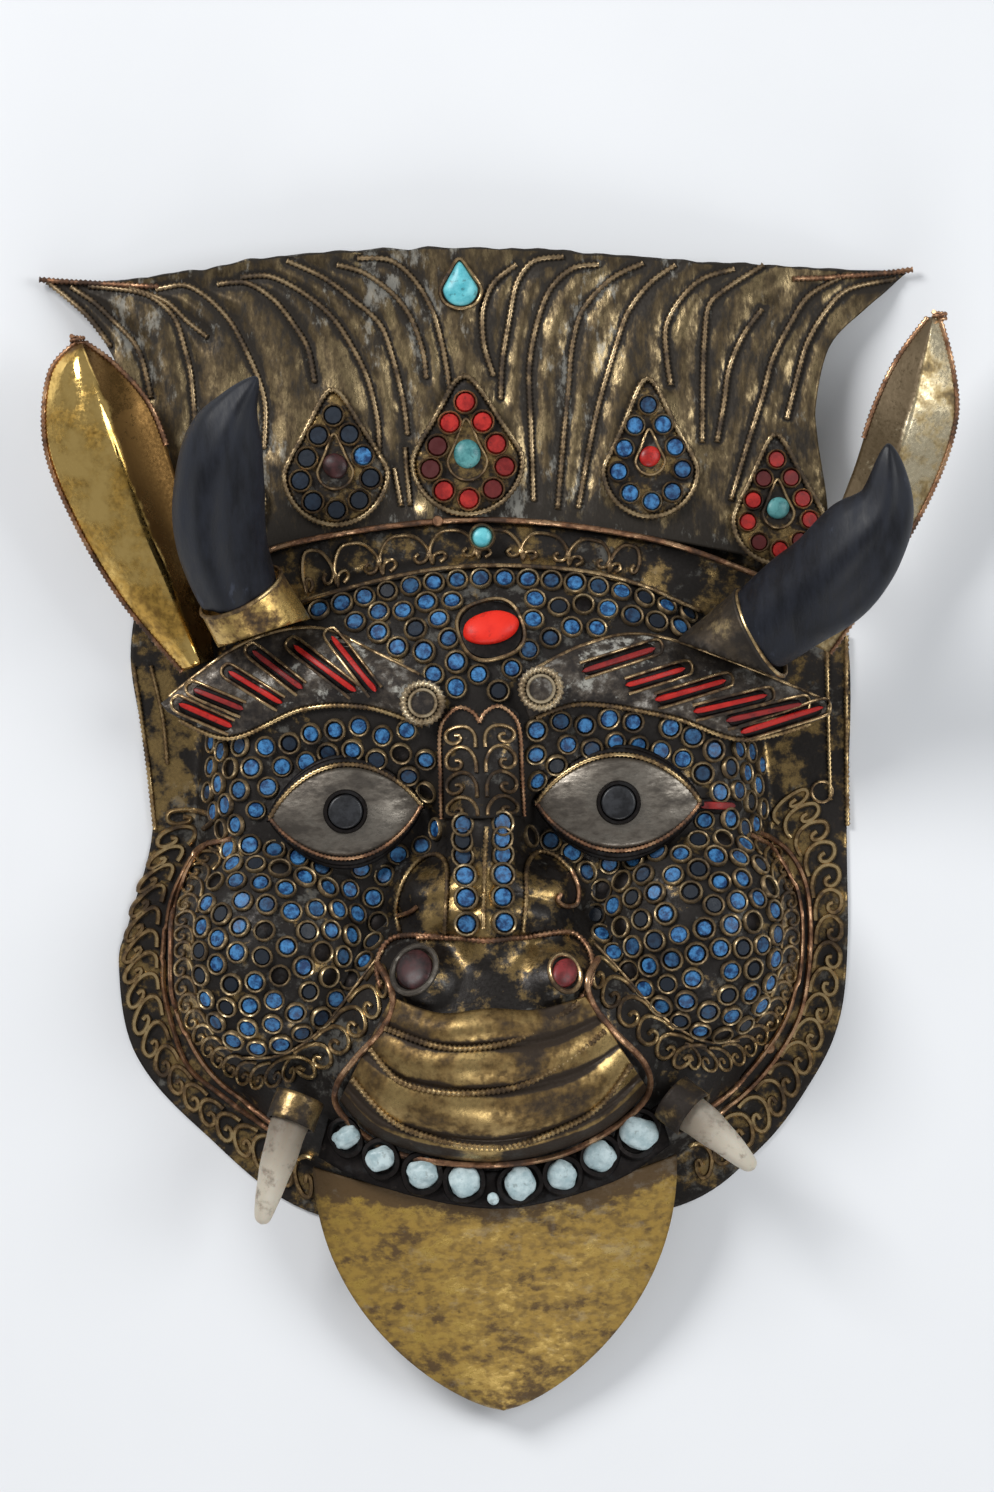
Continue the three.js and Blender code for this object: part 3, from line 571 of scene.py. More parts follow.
strandWire = metalFinish("strandWire", (0.045, 0.03, 0.018), (0.2, 0.137, 0.073), (0.37, 0.27, 0.15),
                         60, 0.42, 0.45, 0.2, metal=0.75)
bezelWire = metalFinish("bezelWire", (0.045, 0.03, 0.017), (0.2, 0.138, 0.072), (0.37, 0.275, 0.15),
                        80, 0.4, 0.48, 0.2, metal=0.75)
wireDark = metalFinish("wireDark", (0.03, 0.02, 0.013), (0.16, 0.1, 0.052), (0.44, 0.31, 0.16),
                       70, 0.4, 0.5, 0.2)
greyPlate = metalFinish("greyPlate", (0.045, 0.037, 0.029), (0.112, 0.096, 0.078), (0.17, 0.15, 0.124),
                        80, 0.38, 0.5, 0.3, metal=0.7, grain=(0.6, 1.3, 1))
browPlate = metalFinish("browPlate", (0.018, 0.014, 0.012), (0.075, 0.06, 0.046), (0.28, 0.26, 0.23),
                        90, 0.5, 0.36, 0.6, metal=0.6, crust=0.8)
pitchBlack = metalFinish("pitchBlack", (0.006, 0.005, 0.005), (0.014, 0.011, 0.01), (0.07, 0.055, 0.045),
                         90, 0.4, 0.2, 0.4)
tuskCuffBrass = metalFinish("tuskCuff", (0.018, 0.012, 0.008), (0.08, 0.053, 0.024), (0.27, 0.18, 0.075),
                            70, 0.54, 0.4, metal=0.7)
cuffBrass = {
    "left": metalFinish("cuffGold", (0.03, 0.018, 0.01), (0.22, 0.13, 0.05), (0.62, 0.42, 0.14),
                        38, 0.42, 0.55, 0.3),
    "right": metalFinish("cuffDark", (0.02, 0.015, 0.011), (0.085, 0.065, 0.045), (0.4, 0.3, 0.15),
                         38, 0.55, 0.3, 0.3),
}
earBrass = {
    "left": metalFinish("earGold", (0.13, 0.07, 0.02), (0.62, 0.37, 0.085), (0.9, 0.61, 0.2),
                        22, 0.24, 0.5, 0.1, metal=1, dullMetal=0.9, polish=0.2),
    "right": metalFinish("earPaleGold", (0.1, 0.068, 0.032), (0.4, 0.29, 0.13), (0.7, 0.6, 0.4),
                         45, 0.36, 0.5, 0.3, polish=0.08),
}


def buildVeins():
    # clouds and flecks in a stone; its own tone runs from dull to clear
    group, given, out = nodeGroup(
        "stoneVeins",
        [("Grain", "NodeSocketFloat", 260.0), ("Deep", "NodeSocketColor", (0.1, 0.1, 0.1, 1)),
         ("Clear", "NodeSocketColor", (0.4, 0.4, 0.4, 1)), ("Dull", "NodeSocketColor", (0.05, 0.05, 0.05, 1)),
         ("Tone", "NodeSocketFloat", 1.0), ("Empty Below", "NodeSocketFloat", 0.0),
         ("Mean Roughness", "NodeSocketFloat", 0.4)],
        [("Color", "NodeSocketColor"), ("Roughness", "NodeSocketFloat"), ("Height", "NodeSocketFloat")])
    vector = objectVector(group)
    cloud = addNoise(group, 260, 4, 0.65, vector, given.outputs["Grain"])
    finer = addMath(group, "MULTIPLY", given.outputs["Grain"], 3.2)
    fleck = addRange(group, addNoise(group, 830, 3, 0.6, vector, finer), 0.58, 0.68)
    color = addMix(group, addRange(group, cloud, 0.35, 0.65), given.outputs["Deep"], given.outputs["Clear"])
    color = addMix(group, addMath(group, "MULTIPLY", fleck, 0.5), color, given.outputs["Dull"])
    fullAbove = addMath(group, "ADD", given.outputs["Empty Below"], 0.5)
    fullness = addRange(group, given.outputs["Tone"], given.outputs["Empty Below"], fullAbove)
    color = addMix(group, fullness, given.outputs["Dull"], color)
    rough = addMath(group, "ADD", given.outputs["Mean Roughness"], addRange(group, cloud, 0.2, 0.8, -0.1, 0.15))
    for label, socket in (("Color", color), ("Roughness", rough), ("Height", cloud)):
        group.links.new(socket, out.inputs[label])
    return group


veins = buildVeins()


def stoneFinish(name, deep, clear, dull, grain=260, rough=0.4, coat=0.3, emptyBelow=0.0):
    material, tree, shader = startMaterial(name, Coat_Weight=coat, Coat_Roughness=0.25, Specular_IOR_Level=0.3)
    node = tree.nodes.new("ShaderNodeGroup")
    node.node_tree = veins
    for label, value in (("Grain", grain), ("Deep", (*deep, 1)), ("Clear", (*clear, 1)), ("Dull", (*dull, 1)),
                         ("Empty Below", emptyBelow), ("Mean Roughness", rough)):
        node.inputs[label].default_value = value
    tree.links.new(addAttribute(tree, "tone"), node.inputs["Tone"])
    tree.links.new(node.outputs["Color"], shader.inputs["Base Color"])
    tree.links.new(node.outputs["Roughness"], shader.inputs["Roughness"])
    addBump(tree, shader, node.outputs["Height"], 0.3, 0.0003)
    return material


# an emptyBelow of -1 is for stones set one by one, which have no tone of their own
blueStone = stoneFinish("blueStone", (0.006, 0.03, 0.1), (0.045, 0.185, 0.4), (0.007, 0.011, 0.018),
                        420, 0.45, 0.04, 0.08)
redStone = stoneFinish("redStone", (0.24, 0.009, 0.008), (0.44, 0.018, 0.012), (0.05, 0.008, 0.008),
                       coat=0.08, emptyBelow=0.2)
coral = stoneFinish("coral", (0.6, 0.012, 0.005), (0.72, 0.022, 0.008), (0.36, 0.012, 0.006), 90, 0.5, 0.05, -1)
turquoise = stoneFinish("turquoise", (0.07, 0.36, 0.42), (0.16, 0.55, 0.6), (0.02, 0.04, 0.035),
                        150, 0.4, 0.25, -1)
agedTurquoise = stoneFinish("agedTurquoise", (0.03, 0.14, 0.15), (0.1, 0.3, 0.3), (0.015, 0.03, 0.028),
                            220, 0.45, 0.2, -1)
garnet = stoneFinish("garnet", (0.014, 0.007, 0.007), (0.05, 0.014, 0.014), (0.03, 0.026, 0.026),
                     160, 0.45, 0.08, -1)
clearGarnet = stoneFinish("clearGarnet", (0.07, 0.01, 0.01), (0.2, 0.022, 0.024), (0.04, 0.012, 0.012),
                          160, 0.45, 0.08, -1)
toothStone = stoneFinish("toothStone", (0.3, 0.4, 0.42), (0.5, 0.6, 0.61), (0.17, 0.19, 0.18),
                         190, 0.4, 0.1, -1)
pupilBlack = stoneFinish("pupilBlack", (0.006, 0.006, 0.007), (0.02, 0.021, 0.024), (0.004, 0.004, 0.004),
                         200, 0.42, 0.2, -1)
barReds = (
    stoneFinish("barRed", (0.3, 0.007, 0.005), (0.44, 0.014, 0.008), (0.08, 0.006, 0.006), 200, 0.5, 0.05, -1),
    stoneFinish("barDeepRed", (0.14, 0.01, 0.01), (0.24, 0.014, 0.012), (0.04, 0.008, 0.008), 200, 0.5, 0.05, -1),
)


def hornFinish():
    material, tree, shader = startMaterial("hornBlack", Specular_IOR_Level=0.3)
    vector = objectVector(tree)
    stretch = tree.nodes.new("ShaderNodeMapping")
    stretch.inputs["Scale"].default_value = (1, 0.25, 0.35)
    tree.links.new(vector, stretch.inputs["Vector"])
    streak = addNoise(tree, 240, 5, 0.65, stretch.outputs["Vector"])
    cloud = addNoise(tree, 45, 4, 0.6, vector)
    scuff = addRange(tree, addMath(tree, "MULTIPLY", cloud, streak), 0.36, 0.44)
    color = addMix(tree, addRange(tree, streak, 0.3, 0.7), (0.003, 0.0035, 0.006, 1), (0.01, 0.012, 0.019, 1))
    color = addMix(tree, addMath(tree, "MULTIPLY", scuff, 0.5), color, (0.06, 0.07, 0.1, 1))
    tree.links.new(color, shader.inputs["Base Color"])
    tree.links.new(addRange(tree, streak, 0.2, 0.8, 0.4, 0.66), shader.inputs["Roughness"])
    addBump(tree, shader, streak, 0.35, 0.0006)
    return material


def boneFinish():
    material, tree, shader = startMaterial("tuskBone", Subsurface_Weight=0.05)
    vector = objectVector(tree)
    streak = addNoise(tree, 180, 5, 0.65, vector)
    cloud = addNoise(tree, 60, 3, 0.6, vector)
    away = addAttribute(tree, "along")
    color = addMix(tree, addRange(tree, away, 0.1, 0.85), (0.15, 0.12, 0.085, 1), (0.5, 0.45, 0.36, 1))
    stains = addMath(tree, "MULTIPLY", addRange(tree, streak, 0.5, 0.7), 0.75)
    color = addMix(tree, stains, color, (0.1, 0.07, 0.045, 1))
    chalk = addMath(tree, "MULTIPLY", addRange(tree, cloud, 0.5, 0.75), 0.35)
    color = addMix(tree, chalk, color, (0.55, 0.52, 0.45, 1))
    tree.links.new(color, shader.inputs["Base Color"])
    tree.links.new(addRange(tree, streak, 0.2, 0.8, 0.4, 0.65), shader.inputs["Roughness"])
    addBump(tree, shader, streak, 0.4, 0.0005)
    return material


hornBlack = hornFinish()
tuskBone = boneFinish()
print("finishes ready")

# ---- the face shell

shellCut = {"sectors": 220, "rings": 92, "crowding": 0.8, "wall": 1.2}


def shellPiece():
    outline = faceForm["outline"]
    poleX, poleY = faceForm["pole"]
    sectors = shellCut["sectors"]
    reach = []
    for k in range(sectors):
        p = splinePoint(outline, k / sectors, True)
        away = math.hypot(p.x - poleX, p.y - poleY)
        angle = math.atan2(p.y - poleY, p.x - poleX)
        reach.append((angle, away))
    reach.append(reach[0])
    rings = shellCut["rings"]
    bm = bmesh.new()
    bmesh.ops.create_grid(bm, x_segments=sectors, y_segments=rings, size=0.5)
    gold = bm.verts.layers.float.new("gold")
    stainAndShade = bm.verts.layers.float.new("stainAndShade")
    for vert in bm.verts:
        angle, away = reach[round((vert.co.x + 0.5) * sectors)]
        r = away * (1 - (vert.co.y + 0.5)) ** shellCut["crowding"]
        x, y = poleX + r * math.cos(angle), poleY + r * math.sin(angle)
        vert[gold] = goldAt(x, y)
        vert[stainAndShade] = stainAt(x, y, vert[gold])
        vert.co = place(x, y, faceHeight(x, y))
    bmesh.ops.remove_doubles(bm, verts=bm.verts, dist=1e-6)
    bm.normal_update()
    if sum(face.normal.z for face in bm.faces) < 0:
        bmesh.ops.reverse_faces(bm, faces=bm.faces[:])
    return pieceFrom(bm, "faceSkin", "dark_bronze", darkBronze, ["face_shell"], None, shellCut["wall"])


def goldAt(x, y):
    # where the patina is rubbed through to brass: nose, nostrils and the worn left edge
    nose = math.exp(-((x - 0.5) / 27) ** 4 - ((y + 34) / 30) ** 4)
    edge = 0.8 * math.exp(-((x + 107) / 8) ** 2 - ((y - 34) / 20) ** 2)
    return min(0.62 * nose + edge, 1.2)


def stainAt(x, y, gold):
    # the rim keeps more of its brown gold than the face; soot lies between the nostrils
    if moundHeight(x, y) <= 0:
        return 0.1 - 0.2 * (x < -90) * gold
    soot = 0.34 * math.exp(-((x - 1) / 20) ** 2 - ((y + 53) / 7) ** 2)
    return 0.42 - 0.7 * gold + soot


shellPiece()
print("face shell made")

# ---- crown

crownCut = {
    "bottom": [(-101, 88), (-62, 100), (0, 106), (58, 98), (119, 84)],
    "top": [(-143, 192), (-116, 191.5), (-90, 194.3), (-56, 198), (9.4, 198), (80, 191), (151, 185)],
    "left": [(-101, 88), (-105, 112), (-109, 137), (-118, 160), (-125.5, 174.5), (-134, 185), (-143, 192)],
    "right": [(119, 84), (121, 105), (118.5, 129), (118.5, 142), (124, 161), (137, 173.5), (151, 185)],
    "columns": 190, "rows": 80, "wall": 1.0,
}


def crownFront(u, v):
    c = crownCut
    low, high = splinePoint(c["bottom"], u), splinePoint(c["top"], u)
    start, end = splinePoint(c["left"], v), splinePoint(c["right"], v)
    corner = (Vector(c["bottom"][0]) * (1 - u) + Vector(c["bottom"][-1]) * u) * (1 - v) \
        + (Vector(c["top"][0]) * (1 - u) + Vector(c["top"][-1]) * u) * v
    p = low * (1 - v) + high * v + start * (1 - u) + end * u - corner
    nick = max(v - 0.97, 0) * 40 * noise.noise(Vector((p.x * 0.13, 3.1, 0)))
    dent = 0.8 * noise.noise(Vector((p.x * 0.03, p.y * 0.03, 1.7)))
    return Vector((p.x, p.y + nick, crownHeight(p.x, p.y) + dent * v))


# painted shade in the grooves beside the wires; the sheet is also made darker along its bottom and its top edge
def crownGrooveShade(x, y, u, v):
    top = 0.5 if v > 0.985 else 0
    return math.exp(-(strandDistance(x, y) / 1.9) ** 2) * 1.1 - 0.1 + max(0.12 - v, 0) * 5 + top


def dropped(form, points, lift, spacing=0.6):
    # a smooth run laid on a form
    return [seat(form, p.x, p.y, lift)[0] for p in evenly(points, spacing)]


def backing(x, y):
    # whichever lies in front where the crown and the headband meet
    return max(crownHeight(x, y), bandHeight(x, y))


sheetPiece("crownSkin", "dark_bronze", crownBronze, crownCut["columns"], crownCut["rows"], crownFront,
           crownCut["wall"], ["crown_plate"], {"stainAndShade": crownGrooveShade})
wirePiece("crownStrands", "dark_bronze", strandWire,
          [dropped(crownHeight, run, 0.5) for run in crownStrands["left"] + crownStrands["right"]],
          crownStrands["radius"], crownStrands["pitch"])
wirePiece("crownEdgeStrands", "dark_bronze", wireCopper,
          [dropped(crownHeight, run, 0.7) for run in crownStrands["edge"]],
          crownStrands["radius"], crownStrands["pitch"])

headbandCut = {
    "top": [(-94, 84), (-60, 99), (0, 104.6), (58, 96.5), (98, 83)],
    "bottom": [(-80, 66), (-57, 79.5), (1.6, 89.5), (55, 81.5), (88, 64)],
    "arc": [(-92, 86), (-62, 99.5), (0, 105.5), (58, 97.5), (97, 83)],
    "foreheadEdge": [(-72, 73), (-57.8, 79.6), (-25.5, 87.2), (1.6, 89.6), (32.6, 87.2), (55.4, 81.4), (76, 72)],
    "columns": 90, "rows": 12, "wall": 1.0, "stainAndShade": 0.12, "arcWire": 1.0, "edgeWire": 0.75,
    "scrolls": 8, "scrollWire": 0.7, "topMargin": 1.6, "bottomMargin": 2.0,
}


def buildHeadband():
    h = headbandCut
    area = between(h["bottom"], h["top"])
    sheetPiece("headbandSkin", "dark_bronze", darkBronze, h["columns"], h["rows"],
               lambda u, v: Vector((*area(u, v).xy, bandHeight(*area(u, v).xy))), h["wall"], ["headband"],
               {"stainAndShade": lambda x, y, u, v: h["stainAndShade"]})
    wirePiece("crownArcWire", "dark_bronze", wireCopper, [dropped(backing, h["arc"], 0.8)], h["arcWire"])


buildHeadband()
print("crown made")

# ---- medallions: a teardrop plate, a beaded rim, ten small stones and one in the middle

medallions = {
    "outer_left": {"x": -87, "y": 121, "w": 33, "h": 44, "ring": "red", "stone": 7.5, "centre": "red"},
    "left": {"x": -46, "y": 128.5, "w": 35, "h": 46, "ring": "navy", "stone": 9, "centre": "garnet"},
    "middle": {"x": -1, "y": 131, "w": 37, "h": 47, "ring": "red", "stone": 10, "centre": "turquoise"},
    "right": {"x": 61, "y": 128, "w": 32, "h": 47, "ring": "blue", "stone": 7.5, "centre": "red"},
    "outer_right": {"x": 104, "y": 109, "w": 31, "h": 44, "ring": "red", "stone": 8, "centre": "turquoise"},
}
medallionCut = {
    "places": [(0, 0.66), (-0.3, 0.37), (0.3, 0.37), (-0.54, 0.04), (0.54, 0.04), (-0.68, -0.29), (0.68, -0.29),
               (-0.45, -0.61), (0.45, -0.61), (0, -0.74)],  # in halves of the plate's width and height
    "lift": 1.6, "wall": 1.0, "rimWire": 1.15, "rimPitch": 1.6, "ringSize": 4.3, "ringWidth": 37, "chipShare": 0.8,
    "middleWire": 0.55, "middleDrop": (1.35, 2.1), "middleStone": (0.46, 0.5),
}


def teardrop(cx, cy, width, height, count=40):
    # a drop with its point up
    r = width / 2
    run = []
    for k in range(count + 1):
        angle = math.pi * (0.5 - 2 * k / count)
        pull = max(math.sin(angle), 0) ** 3.2
        x = r * math.cos(angle) * (1 - 0.42 * max(math.sin(angle), 0) ** 1.3)
        y = (r - height / 2) + r * math.sin(angle) + (height - 2 * r) * pull
        run.append((cx + x, cy + y))
    return run


def medallionForm(x, y):
    return crownHeight(x, y) + medallionCut["lift"]


def medallionPlate(key):
    m = medallions[key]

    def front(u, v):
        edge = teardrop(m["x"], m["y"], m["w"], m["h"], 64)[round(u * 64)]
        p = Vector((m["x"], m["y"] - 4)).lerp(Vector(edge), max(v, 1e-4))
        return Vector((p.x, p.y, medallionForm(p.x, p.y)))

    obj = sheetPiece("medallionSkin_" + key, "dark_bronze", darkBronze, 64, 8, front, medallionCut["wall"],
                     ["medallion_" + key])
    bm = bmesh.new()
    bm.from_mesh(obj.data)
    bmesh.ops.remove_doubles(bm, verts=bm.verts, dist=1e-5)
    bm.to_mesh(obj.data)
    bm.free()


def buildMedallions():
    c = medallionCut
    rims, rings, middles = [], [], []
    stones = {"red": [], "blue": [], "navy": []}
    centres = {"garnet": [], "turquoise": [], "red": []}
    for index, (key, m) in enumerate(medallions.items()):
        medallionPlate(key)
        rims.append([seat(medallionForm, x, y, 0.7)[0] for x, y in teardrop(m["x"], m["y"], m["w"], m["h"], 90)])
        for k, (across, up) in enumerate(c["places"]):
            x, y = m["x"] + across * m["w"] / 2, m["y"] - 1 + up * m["h"] / 2
            point, normal = seat(medallionForm, x, y, 0.1)
            size = m["w"] / c["ringWidth"] * c["ringSize"]
            rings.append((point, normal, size, size, 0, tone(k, index)))
            shade = 0.25 + 0.75 * tone(k, index + 40)
            if m["ring"] == "navy":  # all dark but one
                shade = 0.95 if k == 4 else 0.1 + 0.06 * tone(k, 3)
            chip = size * c["chipShare"]
            stones[m["ring"]].append((point + normal * 0.3, normal, chip, chip, 0, shade))
        point, normal = seat(medallionForm, m["x"], m["y"] - 3, 0.1)
        width, height = (m["stone"] * share for share in c["middleStone"])
        centres[m["centre"]].append((point + normal * 0.3, normal, width, height, 0, 0.9))
        width, height = (m["stone"] * share for share in c["middleDrop"])
        middles.append([seat(medallionForm, x, y, 0.8)[0]
                        for x, y in teardrop(m["x"], m["y"] - 1.5, width, height, 40)])
    wirePiece("medallionRims", "dark_bronze", bezelWire, rims, c["rimWire"], c["rimPitch"])
    wirePiece("medallionMiddleWires", "dark_bronze", wireDark, middles, c["middleWire"])
    setMany("medallionRings", "dark_bronze", wireDark, ringShape(1.0, 0.16, 0.5), rings)
    setMany("medallionRedStones", "garnet_red", redStone, chipShape(1, 0.3), stones["red"])
    setMany("medallionBlueStones", "turquoise", blueStone, chipShape(1, 0.3), stones["blue"] + stones["navy"])
    for name, slot, finish, kind, stands in (
            ("medallionTurquoise", "turquoise", agedTurquoise, "turquoise",
             ["medallion_stone_middle", "medallion_stone_outer_right"]),
            ("medallionGarnet", "garnet_red", garnet, "garnet", ["medallion_stone_left"]),
            ("medallionCoral", "coral_red", redStone, "red",
             ["medallion_stone_right", "medallion_stone_outer_left"])):
        setMany(name, slot, finish, domeShape(0.45), centres[kind], stands)


buildMedallions()
print("medallions made")

# ---- turquoises of the crown

crownDrop = {"x": -1.4, "y": 186, "w": 12, "h": 15.5, "dome": 2.4, "lift": 1.4,
             "bezelWidth": 13.4, "bezelHeight": 17, "bezelWire": 0.7}
roundStone = {"x": 3, "y": 99.5, "lift": 1.0, "radius": 3.6, "ring": 4.6}


def buildDrop():
    d = crownDrop
    edge = teardrop(d["x"], d["y"], d["w"], d["h"], 48)
    bm = bmesh.new()
    bmesh.ops.create_grid(bm, x_segments=48, y_segments=10, size=0.5)
    for vert in bm.verts:
        v = vert.co.y + 0.5
        p = Vector((d["x"], d["y"] - 1.5)).lerp(Vector(edge[round((vert.co.x + 0.5) * 48)]), max(v, 1e-4))
        dome = d["dome"] * math.sqrt(max(1 - v * v, 0))
        vert.co = place(p.x, p.y, crownHeight(p.x, p.y) + d["lift"] + dome)
    bmesh.ops.remove_doubles(bm, verts=bm.verts, dist=1e-5)
    bmesh.ops.contextual_create(bm, geom=[e for e in bm.edges if e.is_boundary])
    bmesh.ops.recalc_face_normals(bm, faces=bm.faces[:])
    pieceFrom(bm, "dropStone", "turquoise", turquoise, ["crown_drop"])
    bezel = teardrop(d["x"], d["y"], d["bezelWidth"], d["bezelHeight"], 48)
    wirePiece("dropBezel", "dark_bronze", wireDark, [[seat(crownHeight, x, y, 1.5)[0] for x, y in bezel]],
              d["bezelWire"])


def buildRoundStone():
    r = roundStone
    point, normal = seat(backing, r["x"], r["y"], r["lift"])
    setMany("roundTurquoise", "turquoise", turquoise, domeShape(0.5),
            [(point, normal, r["radius"], r["radius"], 0, 1)], ["crown_round"])
    setMany("roundBezel", "dark_bronze", wireDark, ringShape(1, 0.2, 0.5, 24),
            [(point, normal, r["ring"], r["ring"], 0, 1)])


buildDrop()
buildRoundStone()

# ---- bands of small scrolls: inner and outer edges, u across and v along

scrollShapes = {
    "comma": [(0.03, 1.0), (0.05, 0.5), (0.26, 0.1), (0.6, 0.03), (0.92, 0.32), (0.93, 0.68), (0.72, 0.84), (0.5, 0.72),
              (0.5, 0.52), (0.66, 0.5)],
    "arch": [(0.08, 0.16), (0.2, 0.3), (0.36, 0.26), (0.3, 0.08), (0.1, 0.02), (0.06, 0.0), (0.5, 0.02), (0.88, 0.24),
             (0.95, 0.5), (0.86, 0.78), (0.5, 0.97), (0.2, 0.9), (0.14, 0.74), (0.3, 0.68), (0.4, 0.78)],
}


def scrollBand(form, inner, outer, count, shape="comma", lift=0.45, overlap=1.12):
    # the same scroll repeated along a band and fitted to its width
    runs = []
    for k in range(count):
        scroll = []
        for u, v in scrollShapes[shape]:
            s = min(max((k + v * overlap) / count, 0), 1)
            p = splinePoint(inner, s).lerp(splinePoint(outer, s), u)
            scroll.append((p.x, p.y))
        runs.append(dropped(form, scroll, lift, 0.7))
    return runs


def layBand(name, band):
    runs = []
    for side in ("left", "right"):
        runs += scrollBand(faceHeight, band[side + "Inner"], band[side + "Outer"], band[side + "Count"],
                           lift=band["lift"])
    wirePiece(name, "dark_bronze", wireBrass, runs, band["scrollWire"], spacing=band["spacing"])


rimBand = {
    "leftInner": [(-88, 8), (-99, 0), (-106, -10), (-111, -23), (-112.5, -37), (-112.5, -50), (-110, -66), (-104, -79),
                  (-95, -89), (-85, -97), (-74, -103), (-62, -109)],
    "leftOuter": [(-107, 12), (-113, -3), (-120, -19), (-124.3, -36), (-124.3, -50), (-120.5, -68), (-112, -82),
                  (-101.5, -94), (-90, -105), (-77, -116), (-63, -125)],
    "rightInner": [(97, 2), (104, -6), (110, -19), (112, -34), (111, -50), (107, -66), (99, -80), (90, -91),
                   (78, -102), (66, -110)],
    "rightOuter": [(110, 12), (117, 0), (121.3, -18), (121.3, -40), (118, -62), (110, -83), (99, -100), (86, -112),
                   (70, -123)],
    "leftWires": [
        [(-85, 0), (-97, -3), (-104, -13), (-108, -23), (-110, -37), (-111, -49), (-108, -65), (-103, -78), (-93, -87),
         (-83, -95), (-73, -101)],
        [(-93, -1), (-101, -9), (-106, -24), (-107, -37), (-107, -54), (-102, -70), (-94, -82), (-83, -91),
         (-74, -98)],
    ],
    "rightWires": [
        [(93, -4), (103, -10), (109, -21), (110.5, -36), (109, -54), (105, -69), (96, -83), (85, -94), (74, -101)],
        [(90, -5), (99, -11), (105, -22), (107, -36), (105.5, -53), (101, -68), (92, -81), (82, -91), (72, -98)],
    ],
    "leftCount": 20, "rightCount": 18, "lift": 0.45, "scrollWire": 0.95, "spacing": 0.8, "edgeWire": 0.95,
}
cheekBand = {
    "leftInner": [(-84, -5), (-93, -12), (-97.5, -24), (-99.5, -37), (-99, -51), (-95, -63), (-88, -71.5), (-78, -76),
                  (-66, -73)],
    "leftOuter": [(-91, 1), (-101, -9), (-105, -24), (-106, -37), (-106, -53), (-101, -68), (-93, -79), (-81, -85.5),
                  (-67, -83)],
    "rightInner": [(88, -6), (94.5, -13), (98.5, -25), (99.5, -38), (98, -51), (93.5, -63), (86, -71.5), (76, -76),
                   (66, -74)],
    "rightOuter": [(93, -1), (101, -9), (105, -22), (106, -37), (104.5, -53), (100, -67), (91, -79), (80, -85),
                   (67, -83.5)],
    "edges": [[(-35, -40), (-43.5, -50), (-52, -60), (-62, -68.5), (-72, -73.5), (-84, -74)],
              [(36, -40), (45, -50), (54, -60), (64, -69), (74, -74), (84, -74)]],
    "leftCount": 20, "rightCount": 19, "lift": 0.35, "scrollWire": 0.65, "spacing": 0.9, "edgeWire": 0.6,
}
muzzleBand = {
    "leftInner": [(-36, -42), (-44, -52), (-53, -62), (-63, -70), (-72, -75)],
    "leftOuter": [(-33, -51), (-37, -61), (-45, -70), (-54, -78), (-62, -83)],
    "rightInner": [(37, -42), (46, -52), (55, -62), (65, -71), (73, -75.5)],
    "rightOuter": [(34, -51), (38, -60), (47, -70), (56, -79), (64, -84)],
    "leftCount": 6, "rightCount": 6, "lift": 0.5, "scrollWire": 0.8, "spacing": 0.9,
}
sideBeads = {
    "runs": [
        [(126.2, 62), (125, 29), (124.3, -3)], [(119.5, 60), (119, 36), (118.8, 6)],
        [(-117.3, 60), (-114, 30), (-112, 4)], [(-111.5, 60), (-108, 42), (-107, 26)],
    ],
    "wire": 1.0, "pitch": 1.6,
}

layBand("rimScrolls", rimBand)
wirePiece("rimWires", "dark_bronze", wireCopper,
          [dropped(faceHeight, run, 0.7, 1.0) for run in rimBand["leftWires"] + rimBand["rightWires"]],
          rimBand["edgeWire"])
layBand("cheekScrolls", cheekBand)
layBand("muzzleScrolls", muzzleBand)
wirePiece("cheekEdgeWires", "dark_bronze", wireDark, [dropped(faceHeight, run, 0.6) for run in cheekBand["edges"]],
          cheekBand["edgeWire"])
wirePiece("sideBeads", "dark_bronze", wireBrass, [dropped(faceHeight, run, 0.6) for run in sideBeads["runs"]],
          sideBeads["wire"], sideBeads["pitch"])
print("scroll bands laid")

# ---- headband scrolls


def dressHeadband():
    h = headbandCut
    low = [(x, y + h["bottomMargin"]) for x, y in h["bottom"][1:4]]
    high = [(x, y - h["topMargin"]) for x, y in h["top"][1:4]]
    scrolls = scrollBand(bandHeight, low, high, h["scrolls"], "arch", 0.5, 1.0)
    wirePiece("headbandScrolls", "dark_bronze", wireDark, scrolls, h["scrollWire"])
    wirePiece("foreheadEdgeWire", "dark_bronze", wireDark, [dropped(bandHeight, h["foreheadEdge"], 0.6)],
              h["edgeWire"])


dressHeadband()

# ---- brows: grey plates, red bars in hairpin bezels, a coil at the inner end

